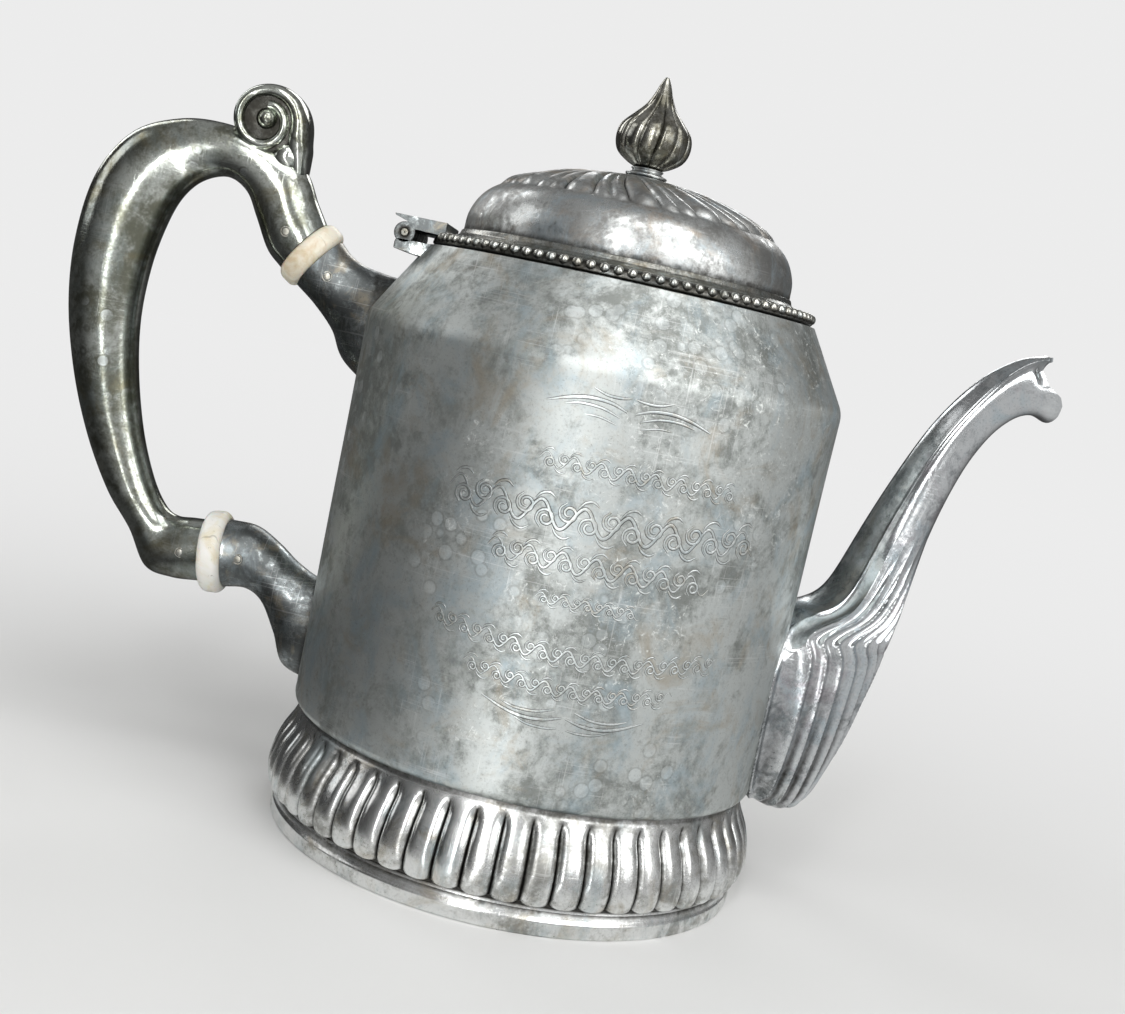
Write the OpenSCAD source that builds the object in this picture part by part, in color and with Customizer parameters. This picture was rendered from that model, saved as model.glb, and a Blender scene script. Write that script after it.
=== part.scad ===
// Coffee pot in plated silver: a drum body on a gadrooned base, a hollow
// fluted spout, a hinged domed lid and a scrolled handle held off the body
// by two heat insulating rings. Millimetres, Z up, spout towards +X.
// The origin is the centre of the foot, on the table.

/* [Body] */
// Outer radius of the drum at its lower edge
body_low_r = 66.0; // [60:0.5:72]
// Outer radius of the drum at the shoulder
body_high_r = 66.8; // [62:0.1:72]
// Height of the drum's lower edge
body_bottom_z = 31.2; // [28:0.2:36]
// Height where the straight wall ends and the shoulder begins
shoulder_z = 138.5; // [120:0.5:150]
// Radius of the rounded shoulder
shoulder_round = 8; // [5:0.5:10]
// Radius of the rounded lower edge
corner_round = 2.6; // [2:0.1:4]
// Outer radius of the mouth
mouth_r = 54.3; // [50:0.1:56]
// Thickness of the sheet metal of the drum
wall = 1.2; // [0.8:0.1:1.6]
// Width of the stiffening ring in the mouth
mouth_ring_w = 3.3; // [2.8:0.1:3.7]
// Height of the stiffening ring in the mouth
mouth_ring_h = 3.4; // [2:0.2:5]
// Thickness of the bottom sheet
bottom_t = 1.0; // [0.8:0.1:1.6]
// Height of the pressed step in the bottom sheet
bottom_step = 1.4; // [0.8:0.1:2]

/* [Base] */
// How far the foot stands out past the drum above it
foot_out = 1.0; // [-1:0.1:4]
// Height of the upright lip of the foot
foot_lip_h = 4.6; // [3:0.1:5.5]
// Height of the shelf that the gadrooned band stands on
foot_shelf_z = 6.5; // [6:0.1:7.5]
// Number of lobes round the base
gadroons = 56; // [40:1:64]
// How far the lobes stand out past the neck above them
gadroon_swell = 6.2; // [5:0.1:7.5]
// Depth of the grooves between the lobes
gadroon_depth = 1.7; // [1:0.1:2.2]
// Thickness of the band's metal under the grooves
gadroon_wall = 1.1; // [0.8:0.1:1.5]

/* [Spout] */
// Thickness of the spout's metal
spout_wall = 1.1; // [0.8:0.1:1.4]
// Depth of the pleats low on the spout, as a share of the half width
pleat = 0.075; // [0.02:0.005:0.1]
// How far the lip's notch is cut back
lip_notch = 3.0; // [1:0.2:4]
// How far the lower lip is turned out
lip_flare = 2.6; // [1:0.2:3.5]
// Diameter of the holes in the wall behind the spout
strainer_d = 3.2; // [2:0.1:4]
// Distance between those holes
strainer_pitch = 6.4; // [5.5:0.1:8]

/* [Handle] */
// Thickness of the handle's metal
handle_wall = 1.6; // [1.2:0.1:2.2]
// Radius of the handle where it meets its upper ring
neck_r = 8.7; // [8:0.1:9.2]
// Radius of the handle where it meets its lower ring
arm_r = 8.8; // [8.2:0.1:9.4]
// Half width of the spiral at the top of the handle
volute_half = 7.0; // [6:0.1:8]
// Half width of the web between the turns of the spiral
volute_web_half = 5.2; // [4:0.1:5.6]
// Outer diameter of the upper ring
upper_ring_d = 20.2; // [19:0.1:21.5]
// Outer diameter of the lower ring
lower_ring_d = 23.4; // [21:0.1:24.5]
// Thickness of both rings
ring_t = 6.6; // [5.6:0.1:7.4]
// Radius on the edges of the rings
ring_round = 2.4; // [1.5:0.1:2.7]
// Radius of the spigots on the rings
spigot_r = 4.2; // [3.6:0.1:4.6]
// Length of each spigot
spigot_len = 8.2; // [7.6:0.1:9]
// Radius of the upper socket where it meets its ring
upper_socket_r = 8.6; // [8:0.1:9.2]
// Radius of the lower socket where it meets its ring
lower_socket_r = 9.6; // [9:0.1:10.2]
// Diameter of the four cross pins
cross_pin_d = 1.8; // [1.5:0.1:2.2]
// Diameter of their riveted heads
pin_head_d = 3.0; // [2.8:0.1:3.6]
// Height of a riveted head above its seat
pin_head_h = 0.8; // [0.6:0.1:1.2]

/* [Lid] */
// Width of the beaded rim round the dome
rim_w = 8.2; // [7:0.1:10]
// Height of the dome above the beaded rim
dome_h = 24.4; // [22:0.2:26]
// Thickness of the dome's metal
dome_wall = 1.0; // [0.8:0.1:1.3]
// Number of large lobes on the dome, each with two small ones beside it
dome_groups = 13; // [10:1:15]
// Height of the large lobes
dome_lobe = 1.3; // [0.6:0.1:1.6]
// Turn of the lobes between the collar and their outer ends, in degrees
dome_swirl = 34; // [0:1:45]
// How far the lid's rim stays inside the edge of the mouth
rim_inset = 0.2; // [-0.4:0.1:1.6]
// Diameter of the beads
bead_d = 2.7; // [2.2:0.1:2.9]
// Number of beads
beads = 96; // [60:4:108]
// Depth of that flange
bezel_h = 4.8; // [3:0.2:6]

/* [Finial] */
// Largest radius of the bulb
bulb_r = 10.5; // [9:0.1:11.5]
// Height of the bulb with its point
bulb_h = 25.2; // [22:0.2:28]
// Number of lobes on the bulb
bulb_lobes = 12; // [8:1:14]
// Radius of the collar under the bulb
collar_r = 5.8; // [5.2:0.1:6.4]
// Height of the collar
collar_h = 2.4; // [2:0.1:3]
// Diameter of the stud that holds the finial
stud_d = 3.0; // [2.5:0.1:3.5]
// Width across the flats of its nut
nut_af = 6.5; // [5.8:0.1:7.5]

/* [Hinge] */
// Distance of the hinge pin outside the mouth
hinge_out = 5.7; // [4.8:0.1:6.6]
// Height of the hinge pin above the mouth
hinge_rise = 1.6; // [1.4:0.1:2]
// Width of the hinge
hinge_w = 30; // [24:1:34]
// Outer radius of the knuckles
knuckle_r = 2.86; // [2.6:0.05:3]
// Diameter of the hinge pin
hinge_pin_d = 2.0; // [1.6:0.1:2.4]

/* [Clearances] */
// Gap between the lid's rim and the mouth when the lid is shut
lid_gap = 0.3; // [0.2:0.05:0.5]
// Gap between the lid's flange and the ring in the mouth
bezel_gap = 1.0; // [0.8:0.1:1.8]
// Gap between knuckles, and round each knuckle
knuckle_gap = 0.3; // [0.2:0.05:0.4]
// Radial gap of the hinge pin in the lid's knuckles
pin_play = 0.05; // [0.03:0.01:0.1]
// Radial gap of pins, spigots and studs in their holes
fit_gap = 0.05; // [0.03:0.01:0.12]

/* [Hidden] */
$fn = 96;
silver = "#b9bcb4";
tarnished = "#7d7f70";
bone = "#e6dcc0";

// Angle of the conical shoulder from the vertical
cone_angle = 31;
cone_tan = tan(cone_angle);
// Where the rounded shoulder ends and the cone begins
cone_low = [body_high_r - shoulder_round * (1 - cos(cone_angle)),
            shoulder_z + shoulder_round * sin(cone_angle)];
rim_z = cone_low[1] + (cone_low[0] - mouth_r) / cone_tan;
cone_wall = wall / cos(cone_angle);
mouth_ring_r = mouth_r - mouth_ring_w;
ledge_w = 3;
foot_r = body_low_r + foot_out;
gadroon_neck_r = body_low_r - corner_round;

rim_under_z = rim_z + lid_gap;
rim_r = mouth_r - rim_inset;
dome_r = rim_r - rim_w;
bezel_r = mouth_ring_r - bezel_gap;
bezel_t = 1.2;
bead_r = rim_r - bead_d / 2;
bead_z = rim_under_z + 0.5 + bead_d / 2;
rim_top_z = bead_z + bead_d / 2;
dome_z = rim_top_z + 2.6;
dome_top_z = dome_z + dome_h;

hinge_x = mouth_r + hinge_out;
hinge_z = rim_z + hinge_rise;
knuckles = 5;
knuckle_w = hinge_w / knuckles;
leaf_top_z = hinge_z + knuckle_r + 1.7;
leaf_under_z = hinge_z + 1.1;
leaf_in_x = -dome_r - 3.1;

// Centres of the two rings and the slopes of their axes, towards the body
upper_ring_at = [-body_high_r - 19.2, shoulder_z + 13.4];
upper_ring_slope = -35.4;
lower_ring_at = [-body_low_r - 30.6, body_bottom_z + 33.1];
lower_ring_slope = 6.1;
pin_offset = ring_t / 2 + spigot_len * 0.6;

// ---- small helpers ----------------------------------------------------

// Value between a and b
function mix(a, b, t) = a + (b - a) * t;

// Smooth step from 0 to 1 as x goes from a to b
function smooth(a, b, x) = let(t = min(1, max(0, (x - a) / (b - a)))) t * t * (3 - 2 * t);

// Catmull-Rom curve through the rows of P; u runs from 0 to len(P) - 1
function through(P, u) =
    let(n = len(P) - 1, i = min(n - 1, max(0, floor(u))), t = u - i,
        b = P[i], c = P[i + 1],
        a = i > 0 ? P[i - 1] : b - (c - b), d = i < n - 1 ? P[i + 2] : c + (c - b))
    0.5 * (2 * b + (c - a) * t + (2 * a - 5 * b + 4 * c - d) * t * t
           + (3 * b - a - 3 * c + d) * t * t * t);

// The same curve as a list, with k steps to each stretch
function traced(P, k) = [for (i = [0 : (len(P) - 1) * k]) through(P, i / k)];

// Points of a circular arc
function arc(c, r, a0, a1, n) = [for (i = [0 : n]) c + r * [cos(mix(a0, a1, i / n)), sin(mix(a0, a1, i / n))]];

// Direction of a slope in the XZ plane, and the direction square to it
function along(slope) = [cos(slope), sin(slope)];
function square_to(slope) = [-sin(slope), cos(slope)];

// Point of the XZ plane, moved sideways by y
function xz(p, y) = [p[0], y, p[1]];

// Faces between ring i and ring j of n points each
function band(i, j, n) = [for (k = [0 : n - 1]) for (f = [0, 1])
    f == 0 ? [i * n + k, i * n + (k + 1) % n, j * n + (k + 1) % n]
           : [i * n + k, j * n + (k + 1) % n, j * n + k]];

// Closed skin over a row of rings, highest first, capped at both ends
module skin(rings) {
    n = len(rings[0]);
    m = len(rings);
    sides = [for (i = [0 : m - 2]) for (f = band(i, i + 1, n)) f];
    first = [[for (k = [n - 1 : -1 : 0]) k]];
    last = [[for (k = [0 : n - 1]) (m - 1) * n + k]];
    polyhedron(points = [for (r = rings) for (p = r) p],
               faces = concat(sides, first, last), convexity = 6);
}

// A solid turned about an axis that lies in the XZ plane at a slope
module turned_about(at, slope, outline) {
    translate([at[0], 0, at[1]]) rotate([0, 90 - slope, 0]) rotate_extrude() polygon(outline);
}

// A bar along Y, centred, with its section drawn in the XZ plane
module bar_y(outline, w) {
    rotate([90, 0, 0]) translate([0, 0, -w / 2]) linear_extrude(w) polygon(outline);
}

// A round rod along Y between two places
module rod_y(at, r, y0, y1) {
    translate([at[0], y1, at[1]]) rotate([90, 0, 0]) cylinder(r = r, h = y1 - y0);
}

// ---- body -------------------------------------------------------------

// Radius of the conical shoulder at a height
function cone_r(z) = mouth_r + (rim_z - z) * cone_tan;

body_outline = concat(
    arc([body_low_r - corner_round, body_bottom_z + corner_round], corner_round, -90, 0, 5),
    arc([body_high_r - shoulder_round, shoulder_z], shoulder_round, 0, cone_angle, 5),
    [[mouth_r, rim_z]]);

body_hollow = concat(
    arc([body_low_r - corner_round, body_bottom_z + corner_round], corner_round - wall, -90, 0, 5),
    arc([body_high_r - shoulder_round, shoulder_z], shoulder_round - wall, 0, cone_angle, 5),
    [[mouth_r - cone_wall, rim_z]]);

// The outer form of the drum as a solid, which everything soldered on is cut to
module body_core() {
    rotate_extrude() polygon(concat([[0, body_bottom_z]], body_outline, [[0, rim_z]]));
}

strainer_z = 60;
strainer_rows = 5;

module strainer_holes() {
    for (row = [0 : strainer_rows - 1]) {
        count = strainer_rows - abs(row - 2);
        for (i = [0 : count - 1])
            translate([body_low_r - 2 * wall - 4, (i - (count - 1) / 2) * strainer_pitch,
                       strainer_z + (row - 2) * strainer_pitch * sin(60)])
                rotate([0, 90, 0]) cylinder(d = strainer_d, h = 2 * wall + 8);
    }
}

module body_shell() {
    ledge_r = body_low_r - corner_round - ledge_w;
    color(silver) difference() {
        rotate_extrude() polygon(concat(
            [[ledge_r, body_bottom_z + wall], [ledge_r, body_bottom_z]], body_outline,
            [for (i = [len(body_hollow) - 1 : -1 : 0]) body_hollow[i]]));
        strainer_holes();
    }
}

module mouth_ring() {
    low = rim_z - mouth_ring_h;
    color(silver) rotate_extrude() polygon([
        [mouth_ring_r, rim_z], [mouth_ring_r, low + 0.6], [mouth_ring_r + 0.6, low],
        [cone_r(low) - cone_wall, low], [cone_r(rim_z) - cone_wall, rim_z]]);
}

module bottom_plate() {
    edge_r = body_low_r - corner_round - fit_gap;
    low = body_bottom_z + wall;
    step_r = edge_r - ledge_w - 3;
    color(silver) rotate_extrude() polygon([
        [0, low + bottom_step], [step_r - bottom_step, low + bottom_step], [step_r, low],
        [edge_r, low], [edge_r, low + bottom_t], [step_r + 0.4, low + bottom_t],
        [step_r + 0.4 - bottom_step, low + bottom_step + bottom_t], [0, low + bottom_step + bottom_t]]);
}

// ---- base -------------------------------------------------------------

band_top_z = body_bottom_z;
lobe_top_z = band_top_z - 1.6;
lobe_steps = 4;

// Crest of a lobe from the neck down to its rounded end, as [radius, height]
function lobe_at(swell, share) = [gadroon_neck_r + swell * gadroon_swell, mix(foot_shelf_z, lobe_top_z, share)];
crest = [lobe_at(0.05, 1), lobe_at(0.31, 0.82), lobe_at(0.74, 0.59), lobe_at(1, 0.31), lobe_at(0.84, 0.09),
         [foot_r - 0.6, foot_shelf_z + 0.6]];
// Bottom of a groove beside it
groove = [for (i = [0 : len(crest) - 1])
    let(end = i / (len(crest) - 1))
    [crest[i][0] - gadroon_depth * smooth(0, 0.3, end) * (1 - 0.1 * end),
     crest[i][1] + (foot_shelf_z + 2.4 - crest[i][1]) * smooth(0.7, 1, end)]];

// Rise of a lobe across its width, from 0 in the groove to 1 on the crest
function lobe_rise(k) = let(t = abs(2 * k / lobe_steps - 1)) 1 - pow(t, 2.2);

function band_ring(g, c) = [for (i = [0 : gadroons * lobe_steps - 1])
    let(a = 360 * i / (gadroons * lobe_steps), p = mix(g, c, lobe_rise(i % lobe_steps)))
    [p[0] * cos(a), p[0] * sin(a), p[1]]];

module base_band() {
    lower = [foot_r - 1, foot_shelf_z];
    neck = [gadroon_neck_r, band_top_z];
    neck_low = [gadroon_neck_r, lobe_top_z + 0.2];
    inset = gadroon_depth + gadroon_wall;
    inner_r = foot_r - 3.6;
    color(silver) difference() {
        skin(concat([band_ring(neck, neck), band_ring(neck_low, neck_low)],
            [for (i = [0 : len(crest) - 1]) band_ring(groove[i], crest[i])],
            [band_ring(lower, lower)]));
        rotate_extrude() polygon([
            [0, foot_shelf_z - 1], [inner_r, foot_shelf_z - 1], [inner_r, foot_shelf_z + 1.4],
            lobe_at(0.9, 0.25) - [inset, 0], lobe_at(0.81, 0.48) - [inset, 0],
            [gadroon_neck_r - gadroon_wall + 0.2, mix(foot_shelf_z, lobe_top_z, 0.85)],
            [gadroon_neck_r - gadroon_wall, band_top_z + 1], [0, band_top_z + 1]]);
    }
}

module foot_ring() {
    shelf_r = foot_r - 1;
    color(silver) rotate_extrude() polygon([
        [shelf_r - 6.5, foot_shelf_z], [shelf_r - 6.5, foot_shelf_z - 1.2], [foot_r - 4.4, foot_shelf_z - 1.2],
        [foot_r - 2.6, foot_lip_h - 1.2], [foot_r - 2.6, 0], [foot_r - 0.6, 0], [foot_r, 0.6],
        [foot_r, foot_lip_h - 0.5], [foot_r - 0.25, foot_lip_h], [shelf_r, foot_shelf_z]]);
}

// ---- spout ------------------------------------------------------------

// Back and belly of the spout in the XZ plane from the drum's lower edge, and its half width, root to lip
spout_back = [[-16, 6.8], [-16, 7.8], [-16, 10.8], [-16, 22.8], [-16, 36.8], [-16, 47.8],
              [-13, 54.4], [5.5, 57], [9.5, 60.4], [13.2, 69.2], [17.6, 84], [25.1, 104.2],
              [31.2, 116], [38.4, 126], [46.2, 133.7], [53.8, 137.4]];
spout_belly = [[7.5, -4.2], [12.4, -3.6], [17.2, 0.8], [22.9, 17.3], [26.4, 33.8], [28.6, 46.3],
               [29.6, 52.8], [30.3, 57.8], [31, 64.3], [31.6, 71.8], [32.9, 83.3], [36.8, 99.2],
               [40.7, 110.2], [45.3, 117.5], [51, 120.7], [58.2, 120.2]];
spout_half = [9.5, 13.5, 16.5, 20, 23, 23.6, 20.5, 15.2, 12.4, 10.2, 8.5, 7.3, 7.0, 6.9, 7.2, 8.6];
spout_at = [body_low_r, body_bottom_z];
spout_stations = [for (i = [0 : len(spout_back) - 1])
    concat(spout_at + spout_back[i], spout_at + spout_belly[i], [spout_half[i]])];
// How far the upper edge of the root falls towards its sides
shield_droop = 4;
// Stations at which the outer skin and the inner skin have their rings
spout_rings = [0, 1, 1.6, 2.3, 3, 4, 5, 5.5, 6, 6.35, 6.7, 7, 7.5, 8.2, 9, 10, 11, 12, 13, 14, 14.6, 15];
bore_rings = [15, 14.5, 13.4, 12, 11, 10, 9, 8, 7.2, 6.6, 6, 5.3, 4, 3, 2.2, 1.8];
// Points on the section: the ridge is at point 3, the widest place at point 6
section_points = 40;
ridge_at = 3;
widest_at = 6;

// Half section, from the back round to the belly, as [share of half width, -1 to 1]
function spout_section(k, u) =
    let(neck = smooth(6, 8.2, u),
        ridge = [0.8, mix(0.86, 0.5, neck)], wide = mix(0.45, 0.05, neck))
    k <= ridge_at ? [ridge[0] * k / ridge_at, 1 - (1 - ridge[1]) * pow(k / ridge_at, 1.6)]
    : k <= widest_at ? let(t = 90 * (k - ridge_at) / (widest_at - ridge_at))
        [mix(ridge[0], 1, sin(t)), mix(ridge[1], wide, 1 - cos(t))]
    : let(t = 90 * (k - widest_at) / (section_points / 2 - widest_at))
        [pow(max(0, cos(t)), 0.85), wide - (1 + wide) * sin(t)];

// How far the lip is drawn forward (or cut back) at an angle from its top
function lip_shape(a) = lip_flare * exp(-pow((a - 118) / 26, 2)) - lip_notch * exp(-pow((a - 66) / 17, 2));

// How deep the flutes are at a station: none at the foot of the root and up the neck
function flute_depth(u) = pleat * smooth(0, 1.6, u) * (1 - smooth(6.6, 9.4, u));

// One ring of the outer skin, or of the bore, which is inset and has no flutes
function spout_ring(u, inset, outer) =
    let(s = through(spout_stations, u), back = [s[0], s[1]], belly = [s[2], s[3]],
        chord = back - belly, len_c = norm(chord), up = chord / len_c, out = [up[1], -up[0]],
        sink = outer ? 0 : inset * smooth(4.4, 5.6, u) * (1 - smooth(7.4, 8.6, u)),
        mid = (back + belly) / 2 - [0, sink], last = len(spout_stations) - 1, lip = smooth(last - 0.7, last, u))
    [for (i = [0 : section_points - 1])
        let(k = min(i, section_points - i), side = i <= section_points / 2 ? 1 : -1,
            q = spout_section(k, u), fold = k <= ridge_at ? 1 : 1 - flute_depth(u) * (outer ? k % 2 : 1),
            turned_out = out * lip * lip_shape(k * 360 / section_points),
            p = mid + up * (q[1] * fold * (len_c / 2 - inset)) + turned_out)
        xz(p - [0, shield_droop * pow(q[0], 2) * smooth(4, 6, u) * (1 - smooth(6.6, 8.6, u))],
           side * q[0] * fold * (s[4] - inset))];

module spout() {
    color(silver) difference() {
        skin(concat([for (u = spout_rings) spout_ring(u, 0, true)],
                    [for (u = bore_rings) spout_ring(u, spout_wall + 0.6 * smooth(4, 0, u), false)]));
        body_core();
    }
}

// ---- handle, sockets and rings ------------------------------------------

// Ring of an oval section between two places in the XZ plane
function oval_ring(a, b, half, n, inset) =
    let(mid = (a + b) / 2, up = (a - b) / norm(a - b), h = norm(a - b) / 2 - inset)
    [for (i = [0 : n - 1]) let(t = 360 * i / n) xz(mid + up * h * cos(t), (half - inset) * sin(t))];

// Rings of an oval tube whose stations are [ax, az, bx, bz, half width]
function oval_tube(stations, from, to, count, n, inset = 0) =
    [for (i = [0 : count]) let(s = through(stations, mix(from, to, i / count)))
        oval_ring([s[0], s[1]], [s[2], s[3]], s[4], n, inset)];

// Station in a ring's plane, on its handle side (-1) or its body side (1)
function ring_station(at, slope, side, r) =
    let(c = at + side * ring_t / 2 * along(slope), up = square_to(slope) * r)
    [c[0] + up[0], c[1] + up[1], c[0] - up[0], c[1] - up[1], r];

module spigot_hole(at, slope, side) {
    c = at + side * (ring_t / 2 - 1) * along(slope);
    translate([c[0], 0, c[1]]) rotate([0, side * 90 - slope, 0])
        cylinder(r = spigot_r + fit_gap, h = spigot_len + 1.4);
}

// Place of a cross pin on the handle side (-1) or the body side (1) of a ring
function pin_at(at, slope, side) = at + side * pin_offset * along(slope);

// Hole for a cross pin, with a flat seat for each riveted head
module cross_pin_hole(at, slope, side, seat) {
    p = pin_at(at, slope, side);
    rod_y(p, cross_pin_d / 2 + fit_gap, -seat - 4, seat + 4);
    rod_y(p, pin_head_d / 2 + fit_gap, seat, seat + 4);
    rod_y(p, pin_head_d / 2 + fit_gap, -seat - 4, -seat);
}

module cross_pin(at, slope, side, seat) {
    p = pin_at(at, slope, side);
    head = pin_head_h;
    color(silver) {
        translate([p[0], 0, p[1]]) rotate([90, 0, 0]) rotate_extrude($fn = 32) polygon([
            [0, -seat - head], [pin_head_d / 2 - 0.5, -seat - head], [pin_head_d / 2, -seat - head + 0.4],
            [pin_head_d / 2, -seat], [cross_pin_d / 2, -seat], [cross_pin_d / 2, seat],
            [pin_head_d / 2, seat], [pin_head_d / 2, seat + head - 0.4],
            [pin_head_d / 2 - 0.5, seat + head], [0, seat + head]]);
    }
}

// Height of the pin heads' seats above the middle plane
neck_seat = neck_r - 0.9;
arm_seat = arm_r - 0.9;
upper_socket_seat = upper_socket_r - 1.0;
lower_socket_seat = lower_socket_r - 1.1;

module insulator(at, slope, d) {
    r = d / 2;
    h = ring_t / 2;
    end = h + spigot_len;
    color(bone) difference() {
        turned_about(at, slope, concat(
            [[0, -end], [spigot_r - 0.4, -end], [spigot_r, -end + 0.4], [spigot_r, -h]],
            arc([r - ring_round, -h + ring_round], ring_round, -90, 0, 5),
            arc([r - ring_round, h - ring_round], ring_round, 0, 90, 5),
            [[spigot_r, h], [spigot_r, end - 0.4], [spigot_r - 0.4, end], [0, end]]));
        for (side = [-1, 1]) rod_y(pin_at(at, slope, side), cross_pin_d / 2 + fit_gap, -r, r);
    }
}

module upper_insulator() { insulator(upper_ring_at, upper_ring_slope, upper_ring_d); }
module lower_insulator() { insulator(lower_ring_at, lower_ring_slope, lower_ring_d); }

// A station given from a place, as [upper x, upper z, lower x, lower z, half width]
function moved(s, at) = [s[0] + at[0], s[1] + at[1], s[2] + at[0], s[3] + at[1], s[4]];

// Upper edge, lower edge and half width of each socket, from its ring to the body
upper_socket_line = concat([ring_station(upper_ring_at, upper_ring_slope, 1, upper_socket_r)],
    [for (s = [[11.4, 1.9, 3.4, -13.1, 8.2], [16.5, 0, 9.6, -19.1, 8.8],
              [25, -1.1, 14.4, -26.7, 11], [34, -1.3, 26, -34.5, 13.5]]) moved(s, upper_ring_at)]);
lower_socket_line = concat([ring_station(lower_ring_at, lower_ring_slope, 1, lower_socket_r)],
    [for (s = [[10.2, 9.7, 10.6, -8.4, 8.9], [17.4, 6.1, 15.8, -11.3, 8.3],
              [23.6, 1.9, 20.8, -19.3, 8.8], [30.6, -1.3, 25.2, -27.7, 10.5],
              [39.6, -3.1, 35.6, -30.9, 12.5]]) moved(s, lower_ring_at)]);

module socket(line, at, slope, seat) {
    color(silver) difference() {
        skin(oval_tube(line, 0, len(line) - 1, 3 * (len(line) - 1), 20));
        body_core();
        spigot_hole(at, slope, 1);
        cross_pin_hole(at, slope, 1, seat);
    }
}

module upper_socket() { socket(upper_socket_line, upper_ring_at, upper_ring_slope, upper_socket_seat); }
module lower_socket() { socket(lower_socket_line, lower_ring_at, lower_ring_slope, lower_socket_seat); }

// Inside, back and half width of the handle, from the upper ring to the lower
function turned_over(s) = [s[2], s[3], s[0], s[1], s[4]];
// The same stations, given from points spread evenly between the two rings
grip = [[-11.7, 4.5, -0.3, 19.6, 8.4], [-15.7, 17.8, -5.2, 33.5, 8],
        [-19, 29.7, -16, 44.5, 7.6], [-24.3, 38, -27.8, 52.2, 7.4],
        [-30.5, 40.9, -39.7, 56.3, 7.8], [-34.6, 40.5, -51, 55.5, 8.4],
        [-37, 37.4, -58.4, 47.9, 8.8], [-38.4, 30.9, -60.4, 35.4, 8.8],
        [-38, 21.9, -58.4, 22.7, 8.2], [-35.2, 12.2, -53, 9.3, 7.5],
        [-30.1, 1.7, -45.3, -2.2, 6.9], [-24.1, -5.3, -36.2, -11, 6.4],
        [-18.6, -6.7, -27.4, -15.1, 6.4], [-14.1, -3.2, -20.3, -19.2, 7.3],
        [-8.7, 2.6, -11.7, -15.4, 8.5]];
handle_line = concat([turned_over(ring_station(upper_ring_at, upper_ring_slope, -1, neck_r))],
    [for (i = [0 : len(grip) - 1])
        moved(grip[i], mix(upper_ring_at, lower_ring_at, (i + 1) / (len(grip) + 1)))],
    [ring_station(lower_ring_at, lower_ring_slope, -1, arm_r)]);

// Spiral at the top of the handle: [angle, outer radius, half thickness]
volute_at = upper_ring_at + [-18.3, 33.5];
volute_line = [[-42, 18.2, 4.4], [0, 11.8, 2.7], [90, 9.8, 1.8], [180, 9.7, 1.7], [270, 9.0, 1.7],
               [360, 6.4, 1.6], [450, 4.7, 1.5], [540, 3.1, 1.4], [600, 2.3, 1.3]];
volute_web_r = 8.8;

function volute_ring(s, n) =
    let(d = [cos(s[0]), sin(s[0])], inside = volute_at + d * (s[1] - 2 * s[2]))
    oval_ring(inside, volute_at + d * s[1], volute_half, n, 0);

module handle() {
    last = len(handle_line) - 1;
    color(tarnished) difference() {
        union() {
            skin(oval_tube(handle_line, 0, last, 2 * last, 20));
            skin([for (s = traced(volute_line, 3)) volute_ring(s, 12)]);
            rod_y(volute_at, volute_web_r, -volute_web_half, volute_web_half);
        }
        skin(oval_tube(handle_line, 1.15, last - 1.35, 20, 12, handle_wall));
        spigot_hole(upper_ring_at, upper_ring_slope, -1);
        spigot_hole(lower_ring_at, lower_ring_slope, -1);
        cross_pin_hole(upper_ring_at, upper_ring_slope, -1, neck_seat);
        cross_pin_hole(lower_ring_at, lower_ring_slope, -1, arm_seat);
    }
}

module upper_handle_pin() { cross_pin(upper_ring_at, upper_ring_slope, -1, neck_seat); }
module upper_socket_pin() { cross_pin(upper_ring_at, upper_ring_slope, 1, upper_socket_seat); }
module lower_handle_pin() { cross_pin(lower_ring_at, lower_ring_slope, -1, arm_seat); }
module lower_socket_pin() { cross_pin(lower_ring_at, lower_ring_slope, 1, lower_socket_seat); }

// ---- lid ----------------------------------------------------------------

dome_hub_r = 4.6;
// Outline of the dome without its lobes, from the collar to the rim
function dome_at(share, drop) = [dome_r * share, dome_top_z - dome_h * drop];
dome_line = [[dome_hub_r, dome_top_z], dome_at(0.423, 0.107), dome_at(0.71, 0.295), dome_at(0.858, 0.443),
             dome_at(0.941, 0.59), dome_at(0.991, 0.795), [dome_r, dome_z]];
// The same outline inside the metal
dome_inside = [dome_line[0] - [0, dome_wall + 0.3], dome_line[1] - [0.1, dome_wall + 0.3],
               dome_line[2] - [0.6, dome_wall + 0.3], dome_line[3] - [0.8, dome_wall + 0.4],
               dome_line[4] - [1.2, dome_wall + 0.2], dome_line[5] - [dome_wall + 0.2, 0.6],
               [dome_r - dome_wall - 0.1, dome_z]];
lobe_end_r = dome_r * 0.855;
first_lobe_at = -93.2;
// Rise across one group of lobes: a large one and two small ones
group_rise = [0, 0.78, 1, 0.78, 0, 0.62, 0.62, 0, 0.62, 0.62];
// Where those points stand within the group, as shares of its width
group_at = [0, 0.12, 0.238, 0.356, 0.476, 0.563, 0.65, 0.738, 0.825, 0.912];

function dome_ring(p) =
    let(fade = 1 - smooth(lobe_end_r - 3.2, lobe_end_r + 0.4, p[0]),
        swell = smooth(dome_hub_r, dome_r * 0.57, p[0]) * fade,
        turn = -dome_swirl * (1 - min(1, p[0] / lobe_end_r)))
    [for (g = [0 : dome_groups - 1]) for (k = [0 : len(group_rise) - 1])
        let(a = 360 * (g + group_at[k]) / dome_groups + turn + first_lobe_at,
            r = p[0], z = p[1] + dome_lobe * swell * (group_rise[k] - 0.5))
        [r * cos(a), r * sin(a), z]];

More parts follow.
